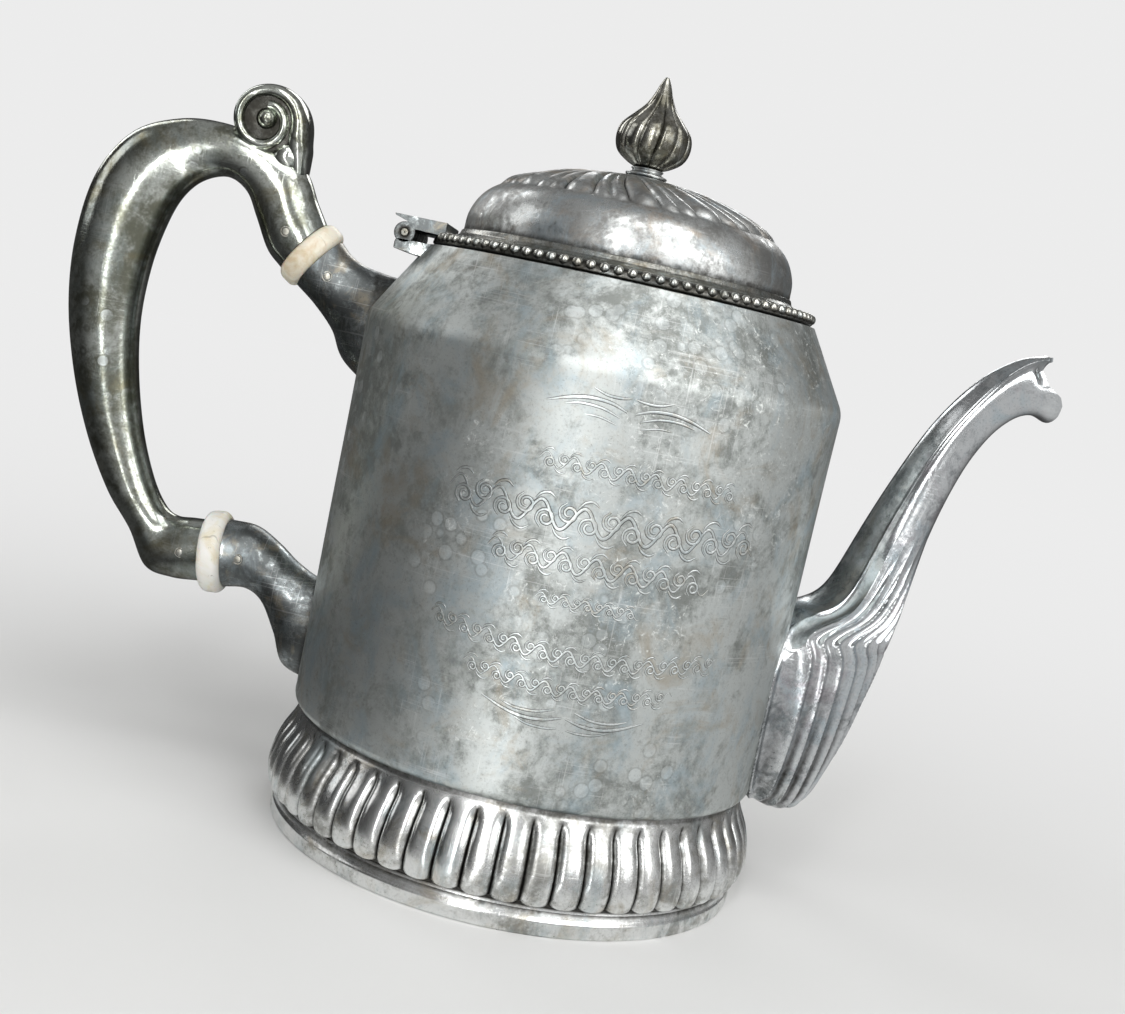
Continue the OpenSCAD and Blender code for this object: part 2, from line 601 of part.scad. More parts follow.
module lid_dome() {
    color(silver) difference() {
        skin([for (p = [for (i = [0 : 12]) through(dome_line, i / 2)]) dome_ring(p)]);
        rotate_extrude() polygon(concat([[0, dome_inside[0][1]]], traced(dome_inside, 2),
            [[dome_r - dome_wall - 0.1, dome_z - 1], [0, dome_z - 1]]));
        translate([0, 0, dome_top_z - 4]) cylinder(d = stud_d + 2 * fit_gap, h = 8);
    }
}

module lid_bead_moulding() {
    inner = dome_r - dome_wall - 0.1;
    notch_w = hinge_w + 2 * fit_gap;
    color(silver) difference() {
        union() {
            rotate_extrude() polygon([
                [inner, rim_under_z], [bead_r, rim_under_z], [bead_r + 0.7, rim_under_z + 0.5],
                [bead_r + 0.5, bead_z], [bead_r - 0.4, rim_top_z - 0.5], [bead_r - 1.6, rim_top_z - 0.5],
                [bead_r - 2.2, rim_top_z], [dome_r + 2.4, rim_top_z + 0.3], [dome_r + 0.9, rim_top_z + 1.2],
                [dome_r + 0.4, dome_z], [inner, dome_z]]);
            for (i = [0 : beads - 1]) rotate([0, 0, 360 * (i + 0.5) / beads])
                translate([bead_r, 0, bead_z]) sphere(d = bead_d, $fn = 24);
        }
        translate([-hinge_x, -notch_w / 2, leaf_under_z]) cube([hinge_x + leaf_in_x, notch_w, 8]);
    }
}

module lid_bezel() {
    low = rim_under_z - bezel_h;
    color(silver) rotate_extrude() polygon([
        [bezel_r - bezel_t, rim_under_z], [bezel_r - bezel_t, low], [bezel_r - 0.4, low],
        [bezel_r, low + 0.4], [bezel_r, rim_under_z]]);
}

// ---- hinge ----------------------------------------------------------------

hinge_at = [-hinge_x, hinge_z];

// The knuckles numbered 0, 2, 4 (body) or 1, 3 (lid), as rods of radius r
module knuckle_rods(first, r, grow) {
    for (i = [first : 2 : knuckles - 1])
        rod_y(hinge_at, r, -hinge_w / 2 + i * knuckle_w + knuckle_gap / 2 - grow,
              -hinge_w / 2 + (i + 1) * knuckle_w - knuckle_gap / 2 + grow);
}

module body_hinge_leaf() {
    left = -hinge_x - 2.2;
    color(tarnished) difference() {
        union() {
            bar_y([[left, rim_z - 3.0], [-mouth_ring_r, rim_z - 4.2], [-mouth_ring_r, rim_z - 0.1],
                   [left + 0.6, rim_z - 0.1], [left, rim_z - 0.9]], hinge_w - knuckle_gap);
            knuckle_rods(0, knuckle_r, 0);
        }
        body_core();
        knuckle_rods(1, knuckle_r + knuckle_gap, knuckle_gap);
        rod_y(hinge_at, hinge_pin_d / 2 + fit_gap, -hinge_w, hinge_w);
    }
}

module lid_hinge_leaf() {
    tail = -hinge_x - 3.2;
    color(tarnished) difference() {
        union() {
            bar_y([[tail, leaf_top_z - 0.5], [tail - 0.3, leaf_top_z], [leaf_in_x, leaf_top_z + 0.2],
                   [leaf_in_x, leaf_under_z], [-hinge_x + 2, leaf_under_z],
                   [-hinge_x, leaf_top_z - 1.4]], hinge_w - knuckle_gap);
            knuckle_rods(1, knuckle_r, 0);
        }
        rotate_extrude() polygon([[0, rim_top_z - 0.2], [dome_r + 2.4, rim_top_z + 0.3],
            [dome_r + 0.9, rim_top_z + 1.2], [dome_r + 0.4, dome_z],
            [dome_r + 0.1, dome_z + 4], [0, dome_z + 4]]);
        knuckle_rods(0, knuckle_r + knuckle_gap, knuckle_gap);
        rod_y(hinge_at, hinge_pin_d / 2 + pin_play, -hinge_w, hinge_w);
    }
}

module hinge_pin() {
    color(silver) rod_y(hinge_at, hinge_pin_d / 2, -hinge_w / 2, hinge_w / 2);
}

// ---- finial ---------------------------------------------------------------

bulb_z = dome_top_z + collar_h;
function bulb_at(share, rise) = [bulb_r * share, bulb_h * rise];
bulb_line = [bulb_at(0.34, 0), bulb_at(0.61, 0.05), bulb_at(0.9, 0.145), bulb_at(1, 0.295),
             bulb_at(0.945, 0.435), bulb_at(0.725, 0.59), bulb_at(0.465, 0.715), bulb_at(0.275, 0.825),
             bulb_at(0.16, 0.92), bulb_at(0.067, 1)];
bulb_steps = 4;

function bulb_ring(p) =
    let(swell = smooth(bulb_r * 0.23, bulb_r * 0.67, p[0]), n = bulb_lobes * bulb_steps,
        turn = 18 * p[1] / bulb_h)
    [for (i = [0 : n - 1]) let(t = abs(2 * (i % bulb_steps) / bulb_steps - 1),
        r = p[0] - 0.9 * swell * pow(t, 3), a = 360 * i / n + turn) [r * cos(a), r * sin(a), bulb_z + p[1]]];

module finial() {
    color(tarnished) difference() {
        skin([for (i = [len(bulb_line) - 1 : -1 : 0]) bulb_ring(bulb_line[i])]);
        translate([0, 0, bulb_z - 1]) cylinder(d = stud_d + 2 * fit_gap, h = 9);
    }
}

module finial_collar() {
    color(silver) rotate_extrude() polygon([
        [stud_d / 2 + fit_gap, dome_top_z], [dome_hub_r, dome_top_z], [collar_r, dome_top_z + 0.3],
        [collar_r, dome_top_z + 0.8], [4.4, dome_top_z + 1.2], [4.0, bulb_z - 0.7],
        [4.6, bulb_z - 0.3], [4.4, bulb_z], [stud_d / 2 + fit_gap, bulb_z]]);
}

washer_z = dome_inside[0][1];
washer_t = 0.8;
nut_h = 2.6;

module finial_stud() {
    color(silver) translate([0, 0, washer_z - washer_t - nut_h - 1.2])
        cylinder(d = stud_d, h = bulb_z + 7 - (washer_z - washer_t - nut_h - 1.2));
}

module finial_washer() {
    color(silver) translate([0, 0, washer_z - washer_t]) difference() {
        cylinder(r = 4.4, h = washer_t);
        translate([0, 0, -1]) cylinder(d = stud_d + 2 * fit_gap, h = washer_t + 2);
    }
}

module finial_nut() {
    color(silver) translate([0, 0, washer_z - washer_t - nut_h]) difference() {
        cylinder(d = nut_af / cos(30), h = nut_h, $fn = 6);
        translate([0, 0, -1]) cylinder(d = stud_d + 2 * fit_gap, h = nut_h + 2);
    }
}

body_shell();
mouth_ring();
bottom_plate();
base_band();
foot_ring();
spout();
upper_socket();
lower_socket();
upper_insulator();
lower_insulator();
handle();
upper_handle_pin();
upper_socket_pin();
lower_handle_pin();
lower_socket_pin();
body_hinge_leaf();
hinge_pin();
lid_hinge_leaf();
lid_dome();
lid_bead_moulding();
lid_bezel();
finial();
finial_collar();
finial_stud();
finial_washer();
finial_nut();
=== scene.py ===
"""Looks of a plated silver coffee pot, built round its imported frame.

Every shown surface is worked out with numpy in millimetres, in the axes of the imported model:
Z up through the finial, +X towards the spout, -X towards the handle. It is then put into a
Blender mesh in metres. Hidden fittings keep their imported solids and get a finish.
"""

import logging
import math
from dataclasses import dataclass, field
from enum import Enum
from functools import reduce
from typing import Sequence

import bpy
import numpy as np
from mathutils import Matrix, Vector

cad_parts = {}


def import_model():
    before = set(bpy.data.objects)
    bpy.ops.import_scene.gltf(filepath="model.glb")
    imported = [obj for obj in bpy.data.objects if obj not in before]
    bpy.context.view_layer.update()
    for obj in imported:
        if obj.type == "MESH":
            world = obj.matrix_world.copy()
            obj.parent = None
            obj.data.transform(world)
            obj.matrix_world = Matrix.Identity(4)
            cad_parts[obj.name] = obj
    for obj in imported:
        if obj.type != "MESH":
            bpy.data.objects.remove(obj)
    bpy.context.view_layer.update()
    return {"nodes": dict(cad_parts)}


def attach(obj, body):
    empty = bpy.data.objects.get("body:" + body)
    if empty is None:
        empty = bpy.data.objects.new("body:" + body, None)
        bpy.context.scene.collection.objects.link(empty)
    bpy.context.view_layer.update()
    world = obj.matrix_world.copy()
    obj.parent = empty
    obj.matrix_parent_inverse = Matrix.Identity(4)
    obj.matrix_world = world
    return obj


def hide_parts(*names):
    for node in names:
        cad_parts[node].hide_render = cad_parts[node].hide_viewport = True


Array = np.ndarray
Colour = tuple[float, float, float]
Real = float | Array
Socket = bpy.types.NodeSocket
Value = Socket | float
Tint = Socket | Colour
LOG = logging.getLogger("coffee_pot")
MM = 0.001


class Body(Enum):
    """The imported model's moving bodies."""

    POT = "pot"
    LID = "lid"


class Slot(Enum):
    """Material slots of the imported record."""

    BODY = "silver_body"
    BASE = "silver_base"
    SPOUT = "silver_spout"
    DARK = "silver_dark"
    HANDLE = "silver_handle"
    LID = "silver_lid"
    BEADS = "silver_beads"
    FINIAL = "silver_finial"
    PIN = "pin_metal"
    BONE = "bone"


# ---- curves ----------------------------------------------------------------


def mix(a: Real, b: Real, t: Real) -> Real:
    """Value between a and b, at share t."""
    return a + (b - a) * t


def smooth(a: float, b: float, x: Real) -> Array:
    """Smooth step from 0 to 1 as x goes from a to b: 3t^2 - 2t^3."""
    t = np.clip((np.asarray(x, float) - a) / (b - a), 0, 1)
    return t * t * (3 - 2 * t)


def circle(n: int) -> Array:
    """n even angles round a circle, in radians."""
    return np.arange(n) * 2 * math.pi / n


def polar(r: Real, a: Real, z: Real) -> Array:
    """Points from radius, angle in radians and height, each a number, a row or a column."""
    return np.stack(np.broadcast_arrays(r * np.cos(a), r * np.sin(a), z), -1)


def unit(v: Array) -> Array:
    """Vectors brought to length 1."""
    return v / np.maximum(np.linalg.norm(v, axis=-1, keepdims=True), 1e-9)


def through(points: Sequence, u: Real) -> Array:
    """Catmull-Rom curve through rows of numbers.

    Args:
        points: One row for each whole value of u.
        u: Places on the curve, from 0 to len(points) - 1.

    Returns:
        One row for each place.
    """
    rows = np.asarray(points, float)
    last = len(rows) - 1
    u = np.clip(np.atleast_1d(np.asarray(u, float)), 0, last)
    i = np.minimum(np.floor(u).astype(int), last - 1)
    t = (u - i)[:, None]
    q = np.vstack([2 * rows[0] - rows[1], rows, 2 * rows[-1] - rows[-2]])
    a, b, c, d = q[i], q[i + 1], q[i + 2], q[i + 3]
    return 0.5 * (2 * b + (c - a) * t + (2 * a - 5 * b + 4 * c - d) * t**2
                  + (3 * b - a - 3 * c + d) * t**3)


def arc(centre: Sequence[float], r: float, a0: float, a1: float, n: int) -> Array:
    """Points of a circular arc from angle a0 to a1, in degrees."""
    a = np.radians(np.linspace(a0, a1, n))
    return np.stack([centre[0] + r * np.cos(a), centre[1] + r * np.sin(a)], 1)


def line(a: Sequence[float], b: Sequence[float], n: int) -> Array:
    """n points along a straight line, without its last end."""
    t = np.linspace(0, 1, n, endpoint=False)[:, None]
    return np.asarray(a, float) * (1 - t) + np.asarray(b, float) * t


def rounded(outline: Sequence, r: float, n: int = 4) -> Array:
    """Closed outline with its corners rounded.

    Each corner becomes a quadratic Bezier curve that starts and ends r away from it, or at
    0.45 of the side where the side is short.
    """
    p = np.asarray(outline, float)
    before, after = np.roll(p, 1, 0) - p, np.roll(p, -1, 0) - p
    out = []
    t = np.linspace(0, 1, n)[:, None]
    for corner, b, a in zip(p, before, after):
        lb, la = np.linalg.norm(b), np.linalg.norm(a)
        s, e = corner + b / lb * min(r, 0.45 * lb), corner + a / la * min(r, 0.45 * la)
        out.append((1 - t) ** 2 * s + 2 * t * (1 - t) * corner + t**2 * e)
    return np.vstack(out)


def eased(grid: Array, keep: Array, spread: float = 7.0) -> Array:
    """Grid with its rows averaged with their neighbours by a Gaussian weight.

    Args:
        grid: Points, rows x columns x 3.
        keep: Share of the old place that each row keeps.
        spread: Width of the weight, in rows.
    """
    n = int(3 * spread)
    weight = np.exp(-((np.arange(-n, n + 1) / spread) ** 2) / 2)
    before, after = 2 * grid[:1] - grid[n:0:-1], 2 * grid[-1:] - grid[-2:-n - 2:-1]
    rows = np.concatenate([before, grid, after])
    total = sum(w * rows[i:i + len(grid)] for i, w in enumerate(weight / weight.sum()))
    return mix(total, grid, keep[:, None, None])


def slope_axes(slope: float) -> tuple[Array, Array]:
    """Direction of a slope in the XZ plane and the direction square to it, as [x, z]."""
    a = math.radians(slope)
    return np.array([math.cos(a), math.sin(a)]), np.array([-math.sin(a), math.cos(a)])


def wobble(p: Array, seed: int, size: float, octaves: int = 3) -> Array:
    """Smooth unevenness at points in millimetres.

    It is a sum of sine waves in fixed random directions, each octave twice as fine and half
    as high as the one before, scaled to about -1 to 1.
    """
    rng = np.random.default_rng(seed)
    total = np.zeros(p.shape[:-1])
    for o in range(octaves):
        for _ in range(5):
            k = rng.normal(size=3)
            k *= 2 * math.pi / size * 2**o / np.linalg.norm(k)
            total += np.sin(p @ k + rng.uniform(0, 2 * math.pi)) * 0.5**o / 4
    return total


# ---- meshes ----------------------------------------------------------------


@dataclass
class Surface:
    """Closed skins gathered into one mesh.

    Each skin is a grid of points, rows by columns, whose columns close on themselves. Its
    end rows are closed by fans, or its last row joins its first.
    """

    points: list[Array] = field(default_factory=list)
    quads: list[Array] = field(default_factory=list)
    tris: list[Array] = field(default_factory=list)
    dirt_and_shade: list[Array] = field(default_factory=list)
    count: int = 0

    def add(self, grid: Array, dirt_and_shade: Array | None = None, loop: bool = False) -> "Surface":
        """Adds one closed skin and turns its faces outwards by the sign of its volume.

        Args:
            grid: Points, rows x columns x 3, in millimetres.
            dirt_and_shade: How dark each point is painted, from 0 to 1: tarnish in grooves and
                painted shade in creases and recesses.
            loop: Whether the last row joins the first.

        Returns:
            The surface itself.
        """
        rows, cols = grid.shape[:2]
        pts = grid.reshape(-1, 3)
        r = np.arange(rows if loop else rows - 1)[:, None]
        c = np.arange(cols)[None, :]
        n = (c + 1) % cols
        up = (r + 1) % rows
        quads = np.stack(np.broadcast_arrays(r * cols + c, r * cols + n, up * cols + n,
                                             up * cols + c), -1).reshape(-1, 4)
        tris = np.zeros((0, 3), int)
        grime_and_shade = np.zeros(len(pts)) if dirt_and_shade is None else np.clip(dirt_and_shade, 0, 1).reshape(-1)
        if not loop:
            ends = np.stack([grid[0].mean(0), grid[-1].mean(0)])
            grime_and_shade = np.append(grime_and_shade, [grime_and_shade[:cols].mean(), grime_and_shade[-cols:].mean()])
            a, b = c[0], n[0]
            base = (rows - 1) * cols
            low = np.stack([np.full(cols, len(pts)), b, a], 1)
            high = np.stack([np.full(cols, len(pts) + 1), base + a, base + b], 1)
            tris = np.vstack([low, high])
            pts = np.vstack([pts, ends])
        every = np.vstack([quads[:, [0, 1, 2]], quads[:, [0, 2, 3]], tris])
        v = pts[every]
        if np.einsum("ij,ij->i", v[:, 0], np.cross(v[:, 1], v[:, 2])).sum() < 0:
            quads, tris = quads[:, ::-1], tris[:, ::-1]
        self.points.append(pts)
        self.quads.append(quads + self.count)
        self.tris.append(tris + self.count)
        self.dirt_and_shade.append(grime_and_shade)
        self.count += len(pts)
        return self

    def mesh(self, name: str, sharp: float = 38) -> bpy.types.Mesh:
        """Puts the skins into a Blender mesh in metres.

        Args:
            name: Name of the mesh.
            sharp: Edges that bend more than this many degrees stay crisp.
        """
        pts = np.vstack(self.points) * MM
        quads, tris = np.vstack(self.quads), np.vstack(self.tris)
        loops = np.concatenate([quads.ravel(), tris.ravel()]).astype(np.int32)
        starts = np.concatenate([np.arange(len(quads)) * 4,
                                 len(quads) * 4 + np.arange(len(tris)) * 3]).astype(np.int32)
        me = bpy.data.meshes.new(name)
        me.vertices.add(len(pts))
        me.vertices.foreach_set("co", pts.astype(np.float32).ravel())
        me.loops.add(len(loops))
        me.loops.foreach_set("vertex_index", loops)
        me.polygons.add(len(starts))
        me.polygons.foreach_set("loop_start", starts)
        me.update(calc_edges=True)
        me.validate()
        # Darkness of each point, from 0 to 1: tarnish in grooves and painted shade in creases and
        # recesses.
        grime_and_shade = me.attributes.new("grime_and_shade", "FLOAT", "POINT")
        grime_and_shade.data.foreach_set("value", np.concatenate(self.dirt_and_shade).astype(np.float32))
        me.shade_smooth()
        me.set_sharp_from_angle(angle=math.radians(sharp))
        return me


def turned(profile: Array, n: int) -> Array:
    """Grid of a profile [radius, height] turned about Z in n steps."""
    return polar(profile[:, :1], circle(n), profile[:, 1:])


def turned_about(at: Sequence[float], slope: float, profile: Array, n: int) -> Array:
    """Grid of a profile [radius, distance] turned about a sloping axis in the XZ plane."""
    along, square = slope_axes(slope)
    d, ring = profile[:, 1:], polar(profile[:, :1], circle(n), 0)
    x = at[0] + along[0] * d + square[0] * ring[..., 0]
    z = at[1] + along[1] * d + square[1] * ring[..., 0]
    return np.stack([x, ring[..., 1], z], -1)


def turned_y(at: Sequence[float], profile: Array, n: int) -> Array:
    """Grid of a profile [radius, y] turned about a line along Y through [x, z]."""
    return turned(profile, n)[..., [0, 2, 1]] + [at[0], 0, at[1]]


def bar_y(outline: Array, width: float, bevel: float = 0.25) -> Array:
    """Grid of a bar along Y whose section [x, z] shrinks by the bevel at both ends."""
    centre = outline.mean(0)
    reach = np.linalg.norm(outline - centre, axis=1, keepdims=True)
    small = outline - (outline - centre) / reach * bevel
    rings = [(small, -width / 2), (outline, -width / 2 + bevel),
             (outline, width / 2 - bevel), (small, width / 2)]
    return np.stack([np.stack([s[:, 0], np.full(len(s), y), s[:, 1]], 1) for s, y in rings])


def ovals(stations: Array, n: int, power: float = 2.0) -> Array:
    """Rings of a tube along the XZ plane.

    Args:
        stations: Rows of [ax, az, bx, bz, half width]; a and b are opposite edges.
        n: Points on a ring.
        power: 2 for an ellipse, more for a squarer section.

    Returns:
        Grid of points. With t round the ring, a point lies h |cos t|^(2 / power) from the
        middle towards a or b, and half width |sin t|^(2 / power) along Y to either side.
    """
    a, b, half = stations[:, 0:2], stations[:, 2:4], stations[:, 4:5]
    chord = a - b
    h = np.linalg.norm(chord, axis=1, keepdims=True) / 2
    up, mid = chord / (2 * h), (a + b) / 2
    c, s = (np.sign(v) * np.abs(v) ** (2 / power) for v in (np.cos(circle(n)), np.sin(circle(n))))
    x = mid[:, :1] + up[:, :1] * h * c
    z = mid[:, 1:] + up[:, 1:] * h * c
    return np.stack([x, half * s, z], -1)


# ---- finishes --------------------------------------------------------------


class Board:
    """A material's node tree, written as short calls."""

    def __init__(self, name: str, tree: bpy.types.NodeTree | None = None) -> None:
        """Starts an empty tree and its object coordinates, or takes over a given tree."""
        self.material = None
        if tree is None:
            self.material = bpy.data.materials.new(name)
            self.material.use_nodes = True
        self.tree = tree or self.material.node_tree
        self.tree.nodes.clear()
        self.place = self.node("ShaderNodeTexCoord").outputs["Object"]

    def node(self, kind: str, inputs: dict | None = None, **settings) -> bpy.types.Node:
        """Adds a node. An input is a number, a colour, or another node's output."""
        made = self.tree.nodes.new(kind)
        for key, value in settings.items():
            setattr(made, key, value)
        for key, value in (inputs or {}).items():
            self.feed(made.inputs[key], value)
        return made

    def feed(self, socket: Socket, value: Value | tuple) -> None:
        """Sets a socket's constant, or links another node's output to it."""
        if isinstance(value, Socket):
            self.tree.links.new(value, socket)
        else:
            socket.default_value = value

    def moved(self, scale: Sequence[float], turn: Sequence[float] = (0, 0, 0),
              shift: Sequence[float] = (0, 0, 0)) -> Socket:
        """Object coordinates scaled, turned (degrees) and shifted."""
        made = self.node("ShaderNodeMapping", {
            "Vector": self.place, "Scale": tuple(scale), "Location": tuple(shift),
            "Rotation": tuple(math.radians(v) for v in turn)})
        return made.outputs[0]

    def noise(self, scale: float, detail: float = 4, rough: float = 0.6,
              bend: float = 0.0, at: Socket | None = None) -> Socket:
        """Cloudy noise with a number of features per metre."""
        made = self.node("ShaderNodeTexNoise", {
            "Vector": at or self.place, "Scale": scale, "Detail": detail,
            "Roughness": rough, "Distortion": bend})
        return made.outputs["Fac"]

    def cells(self, scale: float) -> Socket:
        """Distance to the nearest of many scattered points, with a number of them per metre."""
        made = self.node("ShaderNodeTexVoronoi", {"Vector": self.place, "Scale": scale})
        return made.outputs["Distance"]

    def band(self, value: Socket, low: float, high: float,
             to: tuple[float, float] = (0, 1)) -> Socket:
        """Smooth step of a value between low and high."""
        made = self.node("ShaderNodeMapRange", {
            "Value": value, "From Min": low, "From Max": high, "To Min": to[0],
            "To Max": to[1]}, interpolation_type="SMOOTHSTEP")
        return made.outputs["Result"]

    def sums(self, kind: str, a: Value, b: Value) -> Socket:
        """Arithmetic on two values, such as SUBTRACT or MAXIMUM."""
        return self.node("ShaderNodeMath", {0: a, 1: b}, operation=kind).outputs[0]

    def dot(self, a: Socket, way: Sequence[float]) -> Socket:
        """Share of a vector along a fixed direction."""
        made = self.node("ShaderNodeVectorMath", {0: a, 1: tuple(way)}, operation="DOT_PRODUCT")
        return made.outputs["Value"]

    def plus(self, *values: Value) -> Socket:
        """Sum of two or more values."""
        return reduce(lambda a, b: self.sums("ADD", a, b), values)

    def times(self, *values: Value) -> Socket:
        """Product of two or more values."""
        return reduce(lambda a, b: self.sums("MULTIPLY", a, b), values)

    def blend(self, share: Value, a: Tint, b: Tint) -> Socket:
        """Colour between a and b."""
        made = self.node("ShaderNodeMix", data_type="RGBA")
        self.feed(made.inputs[0], share)
        for key, value in ((6, a), (7, b)):
            self.feed(made.inputs[key], value if isinstance(value, Socket) else (*value, 1.0))
        return made.outputs[2]

    def grime_and_shade(self) -> Socket:
        """How dark the mesh paints the surface: tarnish in grooves and painted shade in creases
        and recesses.
        """
        return self.node("ShaderNodeAttribute", attribute_name="grime_and_shade").outputs["Fac"]

    def bump(self, height: Socket, strength: float, distance: float,
             under: Socket | None = None) -> Socket:
        """Bump from a height in metres times the distance."""
        inputs = {"Height": height, "Strength": strength, "Distance": distance}
        if under is not None:
            inputs["Normal"] = under
        return self.node("ShaderNodeBump", inputs).outputs[0]

    def finish(self, colour: Socket, rough: Socket, normal: Socket,
               **constants: float) -> bpy.types.Material:
        """Joins the shader to the output, with constants set on its own sockets."""
        shader = self.node("ShaderNodeBsdfPrincipled", {
            "Base Color": colour, "Roughness": rough, "Normal": normal})
        for key, value in constants.items():
            shader.inputs[key.replace("_", " ")].default_value = value
        self.node("ShaderNodeOutputMaterial", {"Surface": shader.outputs[0]})
        return self.material


@dataclass(frozen=True)
class PlateFinish:
    """Old silver plate: clouded tarnish, stains, dried drops, lime, scratches, and grooves
    darkened by tarnish and painted shade.
    """

    slot: Slot
    clean: Colour = (0.74, 0.77, 0.76)
    tarnish: Colour = (0.30, 0.315, 0.30)
    stain: Colour = (0.42, 0.36, 0.26)
    film: Colour = (0.46, 0.53, 0.55)
    # groove: near-black that the mesh paints into grooves, creases and recesses, as tarnish and
    # painted shade.
    groove: Colour = (0.03, 0.028, 0.024)
    scratch: Colour = (0.92, 0.93, 0.92)
    dried: Colour = (0.78, 0.83, 0.84)
    lime: Colour = (0.90, 0.92, 0.90)
    cover: float = 0.5
    gloss: float = 0.2
    dull: float = 0.4
    clouds: float = 16.0
    drops: float = 0.0
    crust: float = 0.0
    scratches: float = 0.5

    def metal(self, b: Board) -> tuple[Socket, Socket, Socket]:
        """Clouds of tarnish over clean metal.

        Noise of three sizes is summed and stepped between two levels that cover moves.
        Brown stains and a bluish film lie in clouds of their own. Dark specks and bright
        flecks, less than a millimetre across, are strewn over all of it.

        Returns:
            Colour, share of tarnish, and the finest noise.
        """
        big = b.noise(self.clouds, 5, 0.6, 0.6)
        mid = b.noise(self.clouds * 3.7, 6, 0.7, 0.4)
        fine = b.noise(self.clouds * 17, 6, 0.75)
        cloud = b.plus(b.times(big, 0.36), b.times(mid, 0.42), b.times(fine, 0.22))
        level = 0.64 - 0.28 * self.cover
        tarnished = b.band(cloud, level - 0.06, level + 0.065)
        colour = b.blend(tarnished, self.clean, self.tarnish)
        for tint, size, rough, bend, squeeze, shift, low, most in (
                (self.stain, 2.3, 0.68, 1.0, 1.0, (0.3, 0.1, 0.7), 0.50, 0.6),
                (self.film, 2.9, 0.70, 0.6, 0.7, (1.3, 0.4, 0.2), 0.48, 0.65)):
            at = b.moved((1, 1, squeeze), shift=shift)
            patch = b.noise(self.clouds * size, 6, rough, bend, at)
            colour = b.blend(b.band(patch, low, 0.70, (0, most)), colour, tint)
        specks = b.band(b.noise(1500, 4, 0.8), 0.52, 0.72, (0, 0.45))
        colour = b.blend(specks, colour, tuple(v * 0.45 for v in self.tarnish))
        flecks = b.band(b.noise(700, 5, 0.8), 0.54, 0.70, (0, 0.35))
        return b.blend(flecks, colour, self.clean), tarnished, fine

    def scored(self, b: Board) -> Socket:
        """Hairline scratches: noise stretched round the pot and, turned, across it, in patches."""
        level = b.noise(1, 2, 0.5, 0, b.moved((26, 26, 2600), (23, 16, 0)))
        steep = b.noise(1, 2, 0.5, 0, b.moved((2300, 24, 36), (0, 33, 20)))
        lines = b.sums("MAXIMUM", b.band(level, 0.62, 0.67), b.band(steep, 0.63, 0.68))
        return b.times(lines, b.band(b.noise(45, 3), 0.47, 0.6))

    def dropped(self, b: Board, colour: Socket, rough: Socket) -> tuple[Socket, Socket]:
        """Pale dried drops with a dark rim, round every point of a scatter, in patches."""
        disc = b.cells(170)
        patch = b.band(b.noise(22, 2), 0.53, 0.58)
        pale = b.times(b.band(disc, 0.34, 0.27), patch)
        rim = b.sums("SUBTRACT", b.band(disc, 0.40, 0.34), b.band(disc, 0.33, 0.28))
        colour = b.blend(b.times(pale, 0.45 * self.drops), colour, self.dried)
        colour = b.blend(b.times(rim, patch, 0.6 * self.drops), colour,
                         tuple(v * 0.8 for v in self.tarnish))
        return colour, b.plus(rough, b.times(pale, 0.12 * self.drops))

    def limed(self, b: Board, colour: Socket, rough: Socket) -> tuple[Socket, Socket]:
        """White grains of lime, in patches that are longer upwards."""
        grain = b.band(b.noise(420, 8, 0.85, 1.5), 0.55, 0.62)
        where = b.noise(17, 4, 0.6, 0, b.moved((1, 1, 0.6), shift=(0.07, 0.2, 0.11)))
        white = b.times(grain, b.band(where, 0.53, 0.62))
        colour = b.blend(b.times(white, self.crust), colour, self.lime)
        return colour, b.plus(rough, b.times(white, 0.2 * self.crust))

    def material(self, name: str) -> bpy.types.Material:
        """Builds the finish: metal, marks on it, grooves darkened by tarnish and painted shade,
        and a slight bump.
        """
        b = Board(name)
        colour, tarnished, fine = self.metal(b)
        rough = b.plus(b.band(tarnished, 0, 1, (self.gloss, self.dull)), b.times(fine, 0.10))
        lines = self.scored(b)
        colour = b.blend(b.times(lines, 0.4 * self.scratches), colour, self.scratch)
        if self.drops:
            colour, rough = self.dropped(b, colour, rough)
        if self.crust:
            colour, rough = self.limed(b, colour, rough)
        # The mesh's darkness pulls the colour to groove, with a ragged edge: tarnish in hollows
        # and painted shade in creases and recesses.
        grime_and_shade = b.grime_and_shade()
        ragged = b.times(b.sums("SUBTRACT", fine, 0.5), b.band(grime_and_shade, 0, 0.3, (0, 0.5)))
        colour = b.blend(b.band(b.plus(grime_and_shade, ragged), 0.08, 0.85, (0, 0.97)), colour, self.groove)
        rough = b.plus(rough, b.times(grime_and_shade, 0.2))
        normal = None
        for height, strength, distance in (
                (b.noise(26, 3, 0.5), 0.45, 0.0016), (b.noise(110, 3, 0.5), 0.2, 0.0003),
                (fine, 0.14, 0.0002), (lines, 0.2 * self.scratches, 0.0001)):
            normal = b.bump(height, strength, distance, normal)
        return b.finish(colour, rough, normal, Metallic=1.0)


